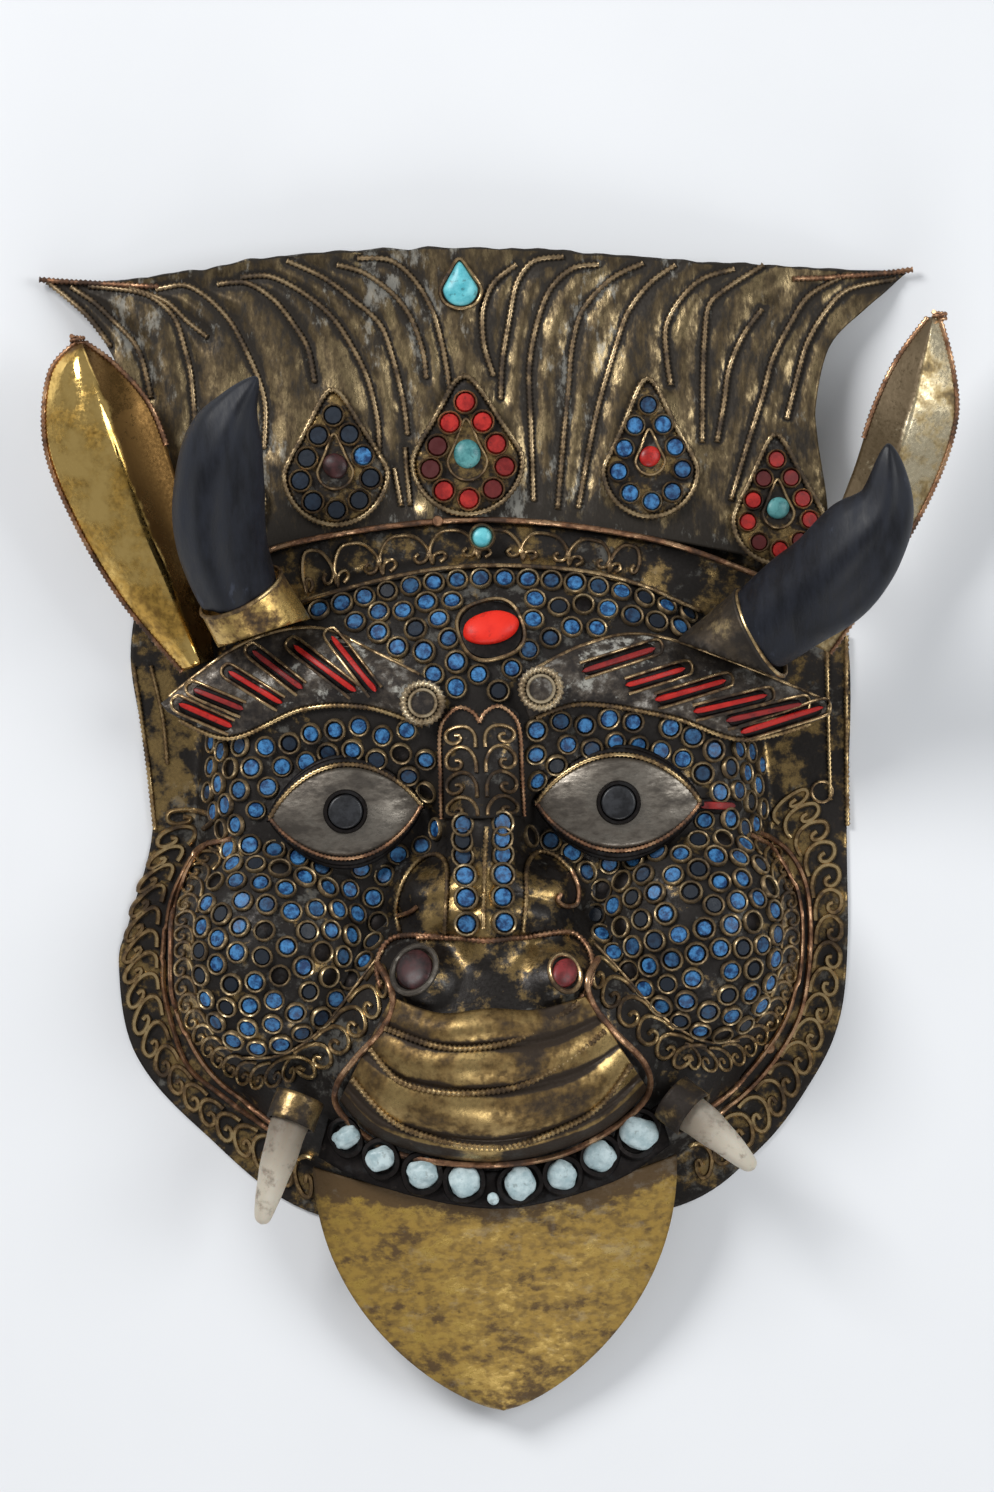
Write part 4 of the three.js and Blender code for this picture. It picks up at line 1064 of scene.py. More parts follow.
brows = {
    "left": {
        "top": [(-108, 47), (-80.3, 65.8), (-55, 70.8), (-35, 62), (-13.5, 50)],
        "bottom": [(-106, 44), (-85.4, 34.5), (-60, 43.5), (-38, 43.4), (-17, 35.5)],
        "bars": [(-101.9, 46.6, -84.2, 38), (-96.8, 51.4, -80, 43.8), (-84.6, 57, -67, 45.4),
                 (-76.3, 63.7, -59.8, 50.1), (-62.3, 65.2, -41.8, 48.5), (-49.2, 67.8, -34.8, 48.2)],
        "deepBars": (2, 4), "coil": (-19, 43.9),
    },
    "right": {
        "top": [(119, 39.5), (87.4, 54), (57.7, 64.5), (35.6, 61.5), (13.5, 51)],
        "bottom": [(117, 34), (89.6, 28), (64.9, 36.5), (35, 42), (17, 37)],
        "bars": [(60.6, 59.9, 35.4, 52.8), (70.4, 52.6, 50.2, 47.3), (84.2, 48.1, 60, 41.9), (98, 42.6, 72.9, 37.5),
                 (109.9, 39.2, 83.7, 34.1), (116.9, 37.9, 88.6, 29.9)],
        "deepBars": (1, 5), "coil": (21.2, 47.3),
    },
    "seatZ": 31, "seatFall": 0.02, "fallFrom": 60, "fallPower": 1.4,
    "edgeLift": 1.6, "lift": 5.5, "wall": 1.2, "barWidth": 1.6, "barDepth": 1.6, "recessWidth": 4.7,
    "pinWire": 0.55, "beads": (1.0, 1.5), "edgeWire": 0.6,
    "coilRadius": 6.6, "coilWire": 1.5, "liningRadius": 4.6, "liningWire": 0.7, "seatRadius": 7.4, "seatTop": 7.0,
}


def browSeat(x, y):
    # the brow's outer end carries straight on where the face drops away behind it
    b = brows
    return max(faceHeight(x, y), b["seatZ"] - b["seatFall"] * max(abs(x) - b["fallFrom"], 0) ** b["fallPower"])


def browForm(side):
    area = between(brows[side]["bottom"], brows[side]["top"])
    lows = [area(k / 60, 0) for k in range(61)]
    highs = [area(k / 60, 1) for k in range(61)]

    def form(x, y):
        k = min(range(61), key=lambda i: abs((lows[i].x + highs[i].x) / 2 - x))
        across = min(max((y - lows[k].y) / max(highs[k].y - lows[k].y, 0.5), 0.02), 0.98)
        arch = math.sin(math.pi * across) ** 0.8
        return browSeat(x, y) + brows["edgeLift"] + (brows["lift"] - brows["edgeLift"]) * arch
    return form


def stripOn(form, name, slot, material, start, end, width, lift, depth, stands=()):
    # a round-ended strip lying on a form
    a, c = Vector(start), Vector(end)
    side = (c - a).orthogonal().normalized()

    def front(u, v):
        p = a.lerp(c, u) + side * (v - 0.5) * width * math.sqrt(max(1 - abs(2 * u - 1) ** 9, 0))
        return Vector((p.x, p.y, form(p.x, p.y) + lift))
    return sheetPiece(name, slot, material, 22, 4, front, depth, stands, smoothAngle=40)


def buildBrow(side):
    spec, form = brows[side], browForm(side)
    area = between(spec["bottom"], spec["top"])

    def front(u, v):
        p = area(u, v)
        lift = brows["edgeLift"] + (brows["lift"] - brows["edgeLift"]) * max(math.sin(math.pi * v), 0) ** 0.8
        return Vector((p.x, p.y, browSeat(p.x, p.y) + lift))
    sheetPiece("browSkin_" + side, "grey_plate", browPlate, 84, 20, front, brows["wall"], ["brow_" + side])
    pins = []
    for k, (ax, ay, bx, by) in enumerate(spec["bars"]):
        stripOn(form, "browRecess_%s_%d" % (side, k + 1), "pupil_black", pitchBlack, (ax, ay), (bx, by),
                brows["recessWidth"], 0.35, 0.5)
        deep = (k + 1 in spec["deepBars"])
        stripOn(form, "browBar_%s_%d" % (side, k + 1), "coral_red", barReds[deep], (ax, ay), (bx, by),
                brows["barWidth"], 0.4 + brows["barDepth"], brows["barDepth"])
        a, c = Vector((ax, ay)), Vector((bx, by))
        along, out = (a - c).normalized(), (a - c).orthogonal().normalized()
        half = brows["recessWidth"] / 2 + 0.3
        middle = c.lerp(a, 0.5)
        pin = [c - out * half, middle - out * half, a - out * half * 0.95, a + along * 1.9 - out * half * 0.5,
               a + along * 2.2 + out * half * 0.3, a + out * half * 0.95, middle + out * half, c + out * half]
        pins.append(dropped(form, [(p.x, p.y) for p in pin], 0.5))
    wirePiece("browPins_" + side, "grey_plate", wireDark, pins, brows["pinWire"])
    lower = [Vector((p.x, p.y - 0.4, browSeat(p.x, p.y) + 1.9)) for p in evenly(spec["bottom"], 0.6)[8:-4]]
    upper = [Vector((p.x, p.y, browSeat(p.x, p.y) + 1.7)) for p in evenly(spec["top"], 0.6)[6:-12]]
    wirePiece("browBeads_" + side, "grey_plate", wireBrass, [lower], *brows["beads"])
    wirePiece("browEdges_" + side, "grey_plate", wireDark, [upper], brows["edgeWire"])
    buildBrowCoil(side, form)


def buildBrowCoil(side, form):
    x, y = brows[side]["coil"]
    coil = []
    for k in range(66):  # the end of the wire overlaps its start, a little inside it
        angle = math.tau * k / 60
        r = brows["coilRadius"] * (1 - 0.05 * (k > 60))
        coil.append((x + r * math.cos(angle), y + r * math.sin(angle), form(x, y) + 1.2))
    lining = circleRun(x, y, form(x, y) + 0.9, brows["liningRadius"], 50)
    wirePiece("browCoil_" + side, "grey_plate", paleWire, [coil], brows["coilWire"], 1.6)
    wirePiece("coilLining_" + side, "grey_plate", paleWire, [lining], brows["liningWire"])
    bm = bmesh.new()
    bmesh.ops.create_cone(bm, cap_ends=True, segments=32, radius1=brows["seatRadius"], radius2=brows["seatTop"],
                          depth=2)
    bmesh.ops.scale(bm, vec=(0.001, 0.001, 0.001), verts=bm.verts)
    bmesh.ops.translate(bm, verts=bm.verts, vec=place(x, y, form(x, y) - 0.4))
    pieceFrom(bm, "coilSeat_" + side, "grey_plate", browPlate, smoothAngle=40)


buildBrow("left")
buildBrow("right")
print("brows made")

# ---- eyes

eyes = {
    "left": {"x": -46.5, "y": 8, "tilt": 0.05, "halfLength": 25.5, "halfHeight": 14.7},
    "right": {"x": 46.2, "y": 7.8, "tilt": -0.03, "halfLength": 27.5, "halfHeight": 15},
    "z": 38.6, "bulge": 3.2, "sink": 3.4, "wall": 1.0, "upperLid": (1.0, 1.5), "lowerLid": (0.85, 1.4),
    "socketShadeSteps": ((1.16, -0.6), (1.24, -1.6)), "socketShadeWire": 1.1,
    "pupil": {"radius": 5.9, "top": 5.75, "height": 2.4, "bevel": 0.7, "lift": 1.0, "ring": 6.7, "ringWire": 0.9},
}


def eyePoint(spec, along, across, lift=0.0):
    # along and across run from -1 to 1 over the almond
    lid = spec["halfHeight"] * max(1 - along * along, 0) ** 0.85 + 0.25
    cos, sin = math.cos(spec["tilt"]), math.sin(spec["tilt"])
    x = spec["x"] + along * spec["halfLength"] * cos - across * lid * sin
    y = spec["y"] + along * spec["halfLength"] * sin + across * lid * cos
    swell = eyes["bulge"] * (1 - along * along) * (1 - across * across * 0.6)
    return Vector((x, y, eyes["z"] + swell - eyes["sink"] * along * along + lift))


def buildEye(side):
    spec = eyes[side]
    sheetPiece("eyeSkin_" + side, "grey_plate", greyPlate, 48, 20,
               lambda u, v: eyePoint(spec, 2 * u - 1, 2 * v - 1), eyes["wall"], ["eye_" + side])
    edge = [k / 60 - 1 for k in range(121)]
    upper = [eyePoint(spec, a * 1.02, 1.07, 0.3) for a in edge]
    lower = [eyePoint(spec, a * 1.02, -1.07, 0.2) for a in edge]
    wirePiece("eyeUpperLid_" + side, "grey_plate", wireBrass, [upper], *eyes["upperLid"])
    wirePiece("eyeLowerLid_" + side, "grey_plate", wireCopper, [lower], *eyes["lowerLid"])
    # black wires sunk around the eye plate are painted shade in the socket around the eye
    socket = [[eyePoint(spec, a * 1.05, across, lift) for a in edge]
              for shift, lift in eyes["socketShadeSteps"] for across in (shift, -shift)]
    wirePiece("eyeSocketShade_" + side, "dark_bronze", pitchBlack, socket, eyes["socketShadeWire"], spacing=1.5)
    buildPupil(side)


def buildPupil(side):
    spec, p = eyes[side], eyes["pupil"]
    top = eyes["z"] + eyes["bulge"]
    bm = bmesh.new()
    bmesh.ops.create_cone(bm, cap_ends=True, segments=40, radius1=p["radius"], radius2=p["top"], depth=p["height"])
    bmesh.ops.bevel(bm, geom=[e for e in bm.edges if all(v.co.z > 1 for v in e.verts)], offset=p["bevel"],
                    segments=3, profile=0.5, affect="EDGES", material=-1)
    bmesh.ops.scale(bm, vec=(0.001, 0.001, 0.001), verts=bm.verts)
    bmesh.ops.translate(bm, verts=bm.verts, vec=place(spec["x"], spec["y"], top + p["lift"]))
    pieceFrom(bm, "pupilDisc_" + side, "pupil_black", pupilBlack, ["pupil_" + side], 40)
    ring = circleRun(spec["x"], spec["y"], top + 0.3, p["ring"])
    wirePiece("pupilRing_" + side, "pupil_black", pitchBlack, [ring], p["ringWire"])


buildEye("left")
buildEye("right")
print("eyes made")

# ---- nose: wings, nostrils, the ridge and the panel between the eyes

nosePaths = {
    "beads": [
        [(1, 1), (0, -12), (-1, -33)],
        [(-29, -34), (-30, -25), (-27, -16), (-22, -10), (-16, -8), (-12.5, -12), (-13, -23), (-14, -34)],
        [(12, -34), (13.5, -24), (14, -13), (18, -8.5), (24, -10), (29, -15)],
    ],
    "base": [
        [(-23, -36), (-13, -35.5), (-1, -37), (10, -36.5), (25, -35.5), (31, -38), (34.5, -44), (34, -52), (30, -58)],
        [(-36, -52), (-37, -44), (-33, -37), (-25, -35), (-15, -35.5)],
    ],
    "copper": [
        [(-29.5, -28), (-27, -27.5), (-24.5, -26.5), (-23, -25)],
        [(29, -15), (31, -21), (30, -26), (26, -26.5), (24, -24.5), (25, -22.5)],
    ],
}
for name, finish, key, lift, radius, pitch in (("noseBeads", wireBrass, "beads", 0.7, 1.0, 1.6),
                                               ("noseBase", wireCopper, "base", 0.9, 1.2, 1.7),
                                               ("noseCurls", wireCopper, "copper", 0.8, 0.8, None)):
    wirePiece(name, "dark_bronze", finish, [dropped(faceHeight, run, lift) for run in nosePaths[key]],
              radius, pitch)

panel = {"bottomY": 4.5, "topY": 39.5, "halfWidth": 13.5, "lift": 2.7, "lobeRise": 3, "wall": 1.0, "stainAndShade": 0.4,
         "beads": (0.9, 1.45), "scrolls": 4, "scrollWire": 0.7, "scrollInner": 1.3, "scrollOuter": 12}


def panelHeight(x, y):
    return faceHeight(x, y) + panel["lift"]


def buildPanel():
    p = panel

    def front(u, v):
        x = p["halfWidth"] * (2 * u - 1)
        y = p["bottomY"] + (p["topY"] + p["lobeRise"] * abs(math.sin(2 * math.pi * u)) - p["bottomY"]) * v
        return Vector((x, y, panelHeight(x, y)))
    sheetPiece("nosePanelSkin", "dark_bronze", darkBronze, 36, 36, front, p["wall"], ["nose_panel"],
               {"stainAndShade": lambda x, y, u, v: p["stainAndShade"]})
    w = p["halfWidth"]
    arches = [[(-w, 4.5), (-w, 20), (-w, 33), (-w * 0.86, 38.5), (-w * 0.5, 42), (-w * 0.15, 40), (0, 36.5)],
              [(0, 36.5), (w * 0.15, 40), (w * 0.5, 42), (w * 0.86, 38.5), (w, 33), (w, 20), (w, 4.5)]]
    wirePiece("nosePanelBeads", "dark_bronze", wireCopper, [dropped(panelHeight, run, 0.6) for run in arches],
              *p["beads"])
    scrolls = []
    for hand in (-1, 1):
        inner, outer = ([(hand * x, y) for y in (35.5, 20, 5)] for x in (p["scrollInner"], p["scrollOuter"]))
        scrolls += scrollBand(panelHeight, inner, outer, p["scrolls"], "comma", 0.45, 1.05)
    wirePiece("nosePanelScrolls", "dark_bronze", wireDark, scrolls, p["scrollWire"])


buildPanel()

# ---- stones of the face: rings packed outward from first rows

faceStones = {
    "pitch": 7.95, "ring": 3.95, "chip": 2.8, "lowest": 6.5, "emptyShare": 0.12,
    "grid": 0.55, "rounds": 5, "pushes": 14, "lastPushes": 10, "closer": 0.95,
    "thirdEye": (4.9, 67.9, 14.6), "lidRoom": (5.5, 4.9), "barRoom": (68, 90, 1, 10),
    "ridge": {"x": (-6.6, 5.9), "y": (2.2, -2.8, -8.2, -15.2, -22.8, -31.2), "lift": 1.2, "size": 1.1, "chip": 1.12},
    "forehead": {
        "area": [(-54, 75.5), (-40, 79), (-25, 83), (1.6, 85.3), (32, 83), (55, 77.5), (74, 70), (70, 66), (59, 68),
                 (34, 66.5), (26, 60), (14, 54.5), (10, 46.5), (1, 45), (-8, 46), (-11, 52), (-22, 56), (-31, 67),
                 (-45, 74)],
        "start": [(-53, 76.5), (-25, 83), (1.6, 85.2), (32, 83), (55, 77.4), (72, 70.5)],
    },
    "left": {
        "area": [(-91, 34), (-85, 31), (-60, 39.5), (-40, 39), (-26, 36), (-18.5, 31), (-18.5, 6), (-15.5, 2),
                 (-15.5, -3), (-22, -5), (-33, -12), (-35.5, -24), (-38, -38), (-42, -44), (-51, -54), (-59, -63),
                 (-67, -68), (-76, -71.5), (-86, -69), (-93, -61), (-97, -50), (-97.5, -37), (-95, -24), (-91, -14),
                 (-85, -7), (-88, 2), (-92, 12), (-94, 24)],
        "start": [(-85, -9), (-92, -17), (-95.5, -27), (-96.7, -38), (-96, -50), (-91, -62), (-84, -68.5), (-75, -70.5),
                  (-66, -67), (-57, -60.5), (-49, -51.5), (-41, -42.5)],
    },
    "right": {
        "area": [(106, 30), (90, 24), (64, 33), (36, 38), (26, 36), (18.5, 34), (18.5, 6), (15.5, 2), (15.5, -3),
                 (24, -5), (33.5, -12), (36, -24), (39, -38), (43, -44), (52, -54), (61, -64), (69, -69.5), (78, -72),
                 (86, -69), (93, -61), (96.5, -50), (98, -37), (96.5, -24), (92.5, -14), (88, -8), (94, 2), (98, 12),
                 (103, 22)],
        "start": [(88, -9), (93, -17), (96.5, -27), (97.2, -38), (95.6, -50), (91, -62), (84, -69), (76, -71.2),
                  (67, -68), (58, -60.5), (50, -51.5), (42, -42.5)],
    },
}


def insideArea(area, x, y):
    inside = False
    for (ax, ay), (bx, by) in zip(area, area[1:] + area[:1]):
        if (ay > y) != (by > y) and x < (bx - ax) * (y - ay) / (by - ay) + ax:
            inside = not inside
    return inside


def clearOfFittings(x, y):
    eyeX, eyeY, eyeRoom = faceStones["thirdEye"]
    left, right, low, high = faceStones["barRoom"]  # the red bar at the right eye's corner
    if math.hypot(x - eyeX, y - eyeY) < eyeRoom or (left < x < right and low < y < high):
        return False
    beside, above = faceStones["lidRoom"]
    for spec in (eyes["left"], eyes["right"]):
        along = (x - spec["x"]) / (spec["halfLength"] + beside)
        if abs(along) < 1 and abs(y - spec["y"]) < (spec["halfHeight"] + above) * (1 - along * along) ** 0.75:
            return False
    return True


def packStones(region, pitch):
    # each ring goes in the free place nearest the first row, so the rows nestle
    area, start = region["area"], region["start"]
    line = evenly([(*p, 0) for p in start], 0.5)
    waiting = [(-1, k, p.x, p.y) for k, p in enumerate(line)]
    guide = kdtree.KDTree(len(line))
    for k, p in enumerate(line):
        guide.insert((p.x, p.y, 0), k)
    guide.balance()
    step = faceStones["grid"]
    left, low = min(p[0] for p in area), min(p[1] for p in area)
    columns = int((max(p[0] for p in area) - left) / step)
    rows = int((max(p[1] for p in area) - low) / step)
    for i in range(columns):
        for j in range(rows):
            x, y = left + i * step, low + j * step
            if insideArea(area, x, y):
                waiting.append((guide.find((x, y, 0))[2], i, x, y))
    waiting.sort()
    spots = []
    addStones(spots, waiting, pitch)
    for _ in range(faceStones["rounds"]):
        for _ in range(faceStones["pushes"]):
            settle(spots, area, pitch)
        addStones(spots, waiting[::3], pitch * faceStones["closer"])
    for _ in range(faceStones["lastPushes"]):
        settle(spots, area, pitch)
    return spots


def addStones(spots, waiting, pitch):
    cells = {}
    for q in spots:
        cells.setdefault((int(q.x // pitch), int(q.y // pitch)), []).append(q)
    for _, _, x, y in waiting:
        column, row = int(x // pitch), int(y // pitch)
        around = [s for a in (-1, 0, 1) for c in (-1, 0, 1) for s in cells.get((column + a, row + c), ())]
        if any((s.x - x) ** 2 + (s.y - y) ** 2 < pitch * pitch * 0.2 for s in around) or not clearOfFittings(x, y):
            continue
        q = Vector((x, y, faceHeight(x, y)))
        if all((q - s).length > pitch for s in around):
            cells.setdefault((column, row), []).append(q)
            spots.append(q)


def settle(spots, area, pitch):
    # crowded rings push each other apart along the skin
    near = kdtree.KDTree(len(spots))
    for k, q in enumerate(spots):
        near.insert(q, k)
    near.balance()
    for k, q in enumerate(spots):
        push = Vector((0, 0, 0))
        for other, index, gap in near.find_range(q, pitch * 1.12):
            if index != k and gap > 1e-4:
                push += (q - other) / gap * (pitch * 1.1 - gap) * 0.3
        x, y = q.x + push.x, q.y + push.y
        if push.length > 0.01 and insideArea(area, x, y) and clearOfFittings(x, y):
            spots[k] = Vector((x, y, faceHeight(x, y)))


def ridgeStones():
    ridge = faceStones["ridge"]
    return [Vector((x + (0.3 if y > 0 else 0), y, faceHeight(x, y))) for x in ridge["x"] for y in ridge["y"]]


def setFaceStones():
    s, ridge = faceStones, faceStones["ridge"]
    spots = ridgeStones()
    ridgeCount = len(spots)
    spots += [q for key in ("forehead", "left", "right") for q in packStones(s[key], s["pitch"])]
    spots = [q for q in spots if q.z > s["lowest"]]  # none so low that its ring would pass the rim
    rings, shadeSeats, chips = [], [], []
    for k, q in enumerate(spots):
        point, normal = seat(faceHeight, q.x, q.y, 0.05)
        onRidge = k < ridgeCount
        if onRidge:  # these sit level
            up = Vector((0, 0, ridge["lift"]))
            point, normal = point + up, (normal + up).normalized()
        normal = (normal + Vector((tone(k, 5) - 0.5, tone(k, 6) - 0.5, 0)) * 0.12).normalized()
        size = s["ring"] * (ridge["size"] if onRidge else 0.93 + 0.12 * tone(k, 2))
        squash = 0.94 + 0.12 * tone(k, 8)
        turn = tone(k, 9) * math.pi
        rings.append((point, normal, size, size * squash, turn, tone(k, 1)))
        # black discs under the chips are painted shade in the gap between each chip and its ring; in the empty rings
        # they make a black floor
        shadeSeats.append((point + normal * 0.1, normal, size * 0.9, size * squash * 0.9, turn, 0.5))
        if tone(k, 3) > s["emptyShare"] or onRidge:
            chip = s["chip"] * (ridge["chip"] if onRidge else 0.92 + 0.16 * tone(k, 4))
            chips.append((point + normal * 0.35, normal, chip, chip * squash, turn, tone(k, 7)))
    setMany("bezels", "dark_bronze", bezelWire, ringShape(1.0, 0.2, 0.44, 14), rings)
    setMany("bezelShadeSeats", "pupil_black", pitchBlack, chipShape(1, 0.12, 10), shadeSeats)
    setMany("blueChips", "turquoise", blueStone, chipShape(1, 0.3, 12), chips)
    print("stones in the face:", len(spots))


setFaceStones()

eyeBar = {"start": (74, 6), "end": (86, 5.2), "width": 2.4, "lift": 2.1, "depth": 1.7,
          "recessStart": (71.5, 6), "recessEnd": (88.5, 5), "recessWidth": 5.4, "recessLift": 0.5,
          "recessDepth": 0.5}
stripOn(faceHeight, "eyeBarRecess", "pupil_black", pitchBlack, eyeBar["recessStart"], eyeBar["recessEnd"],
        eyeBar["recessWidth"], eyeBar["recessLift"], eyeBar["recessDepth"])
stripOn(faceHeight, "eyeBar", "coral_red", barReds[1], eyeBar["start"], eyeBar["end"], eyeBar["width"],
        eyeBar["lift"], eyeBar["depth"])

rivets = {"cheek": (95, -78), "crown": (-11.8, 105.5), "radius": 1.9}
rivetSeats = [seat(faceHeight, *rivets["cheek"], 0.4), seat(medallionForm, *rivets["crown"], 0.4)]
setMany("rivets", "brass_sheet", wireCopper, chipShape(1, 0.5, 16),
        [(*spot, rivets["radius"], rivets["radius"], 0, 1) for spot in rivetSeats])
edgeRing = {"at": (116, 9), "radius": 4}
setMany("edgeRing", "dark_bronze", wireDark, ringShape(1, 0.22, 0.3, 28),
        [(*seat(faceHeight, *edgeRing["at"], 0.1), edgeRing["radius"], edgeRing["radius"], 0, 1)])

# ---- third eye and nostril stones

ovals = {
    "thirdEye": {"slot": "coral_red", "finish": coral, "at": (4.9, 67.9), "size": (19.4, 12, 3.6), "turn": 0.26,
                 "lift": 1.4, "stands": "forehead_stone"},
    "thirdEyeRecess": {"slot": "pupil_black", "finish": pitchBlack, "at": (4.9, 67.6), "size": (22, 22, 1.1),
                       "turn": 0.4, "lift": 0.3, "stands": "forehead_bezel"},
    "nostrilStoneLeft": {"slot": "garnet_red", "finish": garnet, "at": (-24.6, -46.6), "size": (13, 15.5, 2.4),
                         "turn": -0.3, "lift": 0.6, "stands": "nostril_stone_left"},
    "nostrilStoneRight": {"slot": "garnet_red", "finish": clearGarnet, "at": (25.6, -49.4),
                          "size": (8.5, 11.5, 2.4), "turn": 0.2, "lift": 0.6, "stands": "nostril_stone_right"},
}
ovalRims = {
    "thirdEyeRim": {"slot": "dark_bronze", "finish": wireDark, "at": (4.9, 67.6), "reach": (11, 11), "turn": 0.3,
                    "lift": 0.9, "power": 2.7, "wire": 0.75, "stands": ()},
    "nostrilRingLeft": {"slot": "grey_plate", "finish": greyPlate, "at": (-24.6, -46.6), "reach": (7.7, 9),
                        "turn": -0.3, "lift": 1.0, "power": 2, "wire": 1.1, "stands": ["nostril_bezel_left"]},
    "nostrilRingRight": {"slot": "grey_plate", "finish": wireDark, "at": (25.6, -49.4), "reach": (5.4, 6.8),
                         "turn": 0.2, "lift": 1.0, "power": 2, "wire": 0.95, "stands": ["nostril_bezel_right"]},
}


def ovalOn(name, spec):
    x, y = spec["at"]
    width, height, rise = spec["size"]
    point, normal = seat(faceHeight, x, y, spec["lift"])
    bm = bmesh.new()
    bmesh.ops.create_uvsphere(bm, u_segments=36, v_segments=20, radius=1)
    for v in bm.verts:  # fuller than a ball, and a little uneven
        v.co.z = math.copysign(abs(v.co.z) ** 0.8, v.co.z) * (1 if v.co.z > 0 else 0.3)
        v.co *= 1 + 0.035 * noise.noise(v.co * 1.6 + Vector((x, 0, 0)))
    bmesh.ops.scale(bm, vec=(width / 2000, height / 2000, rise / 1000), verts=bm.verts)
    bmesh.ops.transform(bm, verts=bm.verts, matrix=Matrix.Translation(place(*point))
                        @ normal.to_track_quat("Z", "Y").to_matrix().to_4x4()
                        @ Matrix.Rotation(spec["turn"], 4, "Z"))
    pieceFrom(bm, name, spec["slot"], spec["finish"], [spec["stands"]], 60)


def loopOn(x, y, rx, ry, turn, lift, power=2.0, form=faceHeight, count=72):
    run = []
    point, normal = seat(form, x, y, lift)
    across = Vector((1, 0, 0)) - normal * normal.x
    across.normalize()
    up = normal.cross(across)
    for k in range(count + 1):
        angle = math.tau * k / count
        cos, sin = math.cos(angle), math.sin(angle)
        a = math.copysign(abs(cos) ** (2 / power), cos) * rx
        c = math.copysign(abs(sin) ** (2 / power), sin) * ry
        run.append(point + across * (a * math.cos(turn) - c * math.sin(turn))
                   + up * (a * math.sin(turn) + c * math.cos(turn)))
    return run


for name, spec in ovals.items():
    ovalOn(name, spec)
for name, spec in ovalRims.items():
    rim = loopOn(*spec["at"], *spec["reach"], spec["turn"], spec["lift"], spec["power"])
    wirePiece(name, spec["slot"], spec["finish"], [rim], spec["wire"], stands=spec["stands"])
print("nose and stones made")

# ---- lip plate with its folds, gum, teeth and tongue

lip = {
    "top": [(-33, -55), (-17, -61), (0, -60), (16, -61), (33, -57)],
    "bottom": [(-52, -90), (-37, -104.5), (0, -112.8), (35, -104.5), (53, -90)],
    "lift": 3.1, "foldHeight": 3.4, "folds": (0, 0.24, 0.53, 0.86, 1.0), "wall": 1.2, "beads": (1.35, 1.7),
    "outlineWire": 1.15,
    "arcs": [
        [(-34.8, -65.8), (-17, -72.4), (-2, -73), (12.1, -69.5), (29.5, -59.1)],
        [(-40.1, -72.6), (-31.4, -83), (-17.6, -87.4), (-2.6, -88), (11.5, -85.5), (25.8, -77.9), (38.1, -69.4)],
        [(-46.4, -82.4), (-34.9, -95.8), (-22.1, -102.3), (-8.2, -105.8), (5.8, -106.3), (21, -101.8), (35.2, -94.3),
         (46.7, -80.7)],
    ],
    "outline": [(-37, -44), (-33, -51), (-32.5, -59), (-37, -67), (-45, -75), (-52, -84), (-52.5, -92),
                (-44, -101.5), (-32, -108.5), (-15, -112), (2, -113), (20, -111), (35.5, -104.8), (48.5, -96),
                (53.2, -88.5), (51, -80), (42, -70), (35, -60.5), (33, -52), (37, -45)],
}


def lipHeight(x, y):
    return faceHeight(x, y) + lip["lift"] + 0.4


def buildLip():
    area = between(lip["top"], lip["bottom"])
    marks = lip["folds"]

    def front(u, v):
        p = area(u, v)
        k = max(i for i in range(4) if v >= marks[i] or i == 0)
        local = (v - marks[k]) / (marks[k + 1] - marks[k])
        fade = math.sin(math.pi * min(max(u, 0.03), 0.97)) ** 0.4
        fold = lip["foldHeight"] * fade * math.sin(math.pi * min(max(local, 0), 1)) ** 0.75
        return Vector((p.x, p.y, faceHeight(p.x, p.y) + lip["lift"] + fold))

    # painted shade in the creases between the folds, where the beaded arcs lie; the bottom edge is made darker too
    def creaseShade(x, y, u, v):
        return max(1 - 2 * min(abs(v - mark) for mark in marks[1:4]) / 0.11, 0) + (0.5 if v > 0.93 else 0) - 0.15
    sheetPiece("lipSkin", "brass_sheet", lipBrass, 96, 72, front, lip["wall"], ["lip_plate"], {"stainAndShade": creaseShade})
    wirePiece("lipBeads", "brass_sheet", wireBrass, [dropped(lipHeight, run, 1.1) for run in lip["arcs"]],
              *lip["beads"])
    wirePiece("lipOutline", "brass_sheet", wireCopper, [dropped(lipHeight, lip["outline"], 0.6, 0.9)],
              lip["outlineWire"])


buildLip()

gum = {
    "top": [(-56, -96), (-38, -107.5), (0, -115.5), (36, -107.5), (56, -95)],
    "bottom": [(-60, -109), (-40, -119.5), (0, -128.5), (38, -121.5), (60, -109)],
    "wall": 1.4, "bumps": 0.5,
}


def gumFront(u, v):
    p = between(gum["bottom"], gum["top"])(u, v)
    return Vector((p.x, p.y, gumHeight(p.x, 0) + gum["bumps"] * noise.noise(Vector((u * 30, v * 4, 0.3)))))


sheetPiece("gumSkin", "dark_bronze", pitchBlack, 60, 10, gumFront, gum["wall"], ["gum_strip"])

teeth = [  # x, y, width, height, turn
    (-50.1, -102.6, 7.6, 11, 0.45), (-38.4, -110.2, 9, 11, 0.4), (-24.6, -115.6, 11, 11.5, 0.2),
    (-10.6, -118.6, 11.5, 11.5, 0.05), (8.3, -120, 13, 10.5, 0.35), (22.6, -117.8, 11, 10.5, -0.15),
    (35.4, -111.6, 10.5, 12, -0.4), (48.6, -104.6, 11, 14.5, -0.45),
]
toothCut = {"squareness": 2.5, "squarenessUp": 2.3, "swell": 1.04, "chipping": 0.24, "widthShare": 0.45,
            "thickness": 0.0036, "bezelWire": 1.3, "bezelRoom": 0.7, "looseChip": (-1, -125, 2.2, 2.0)}


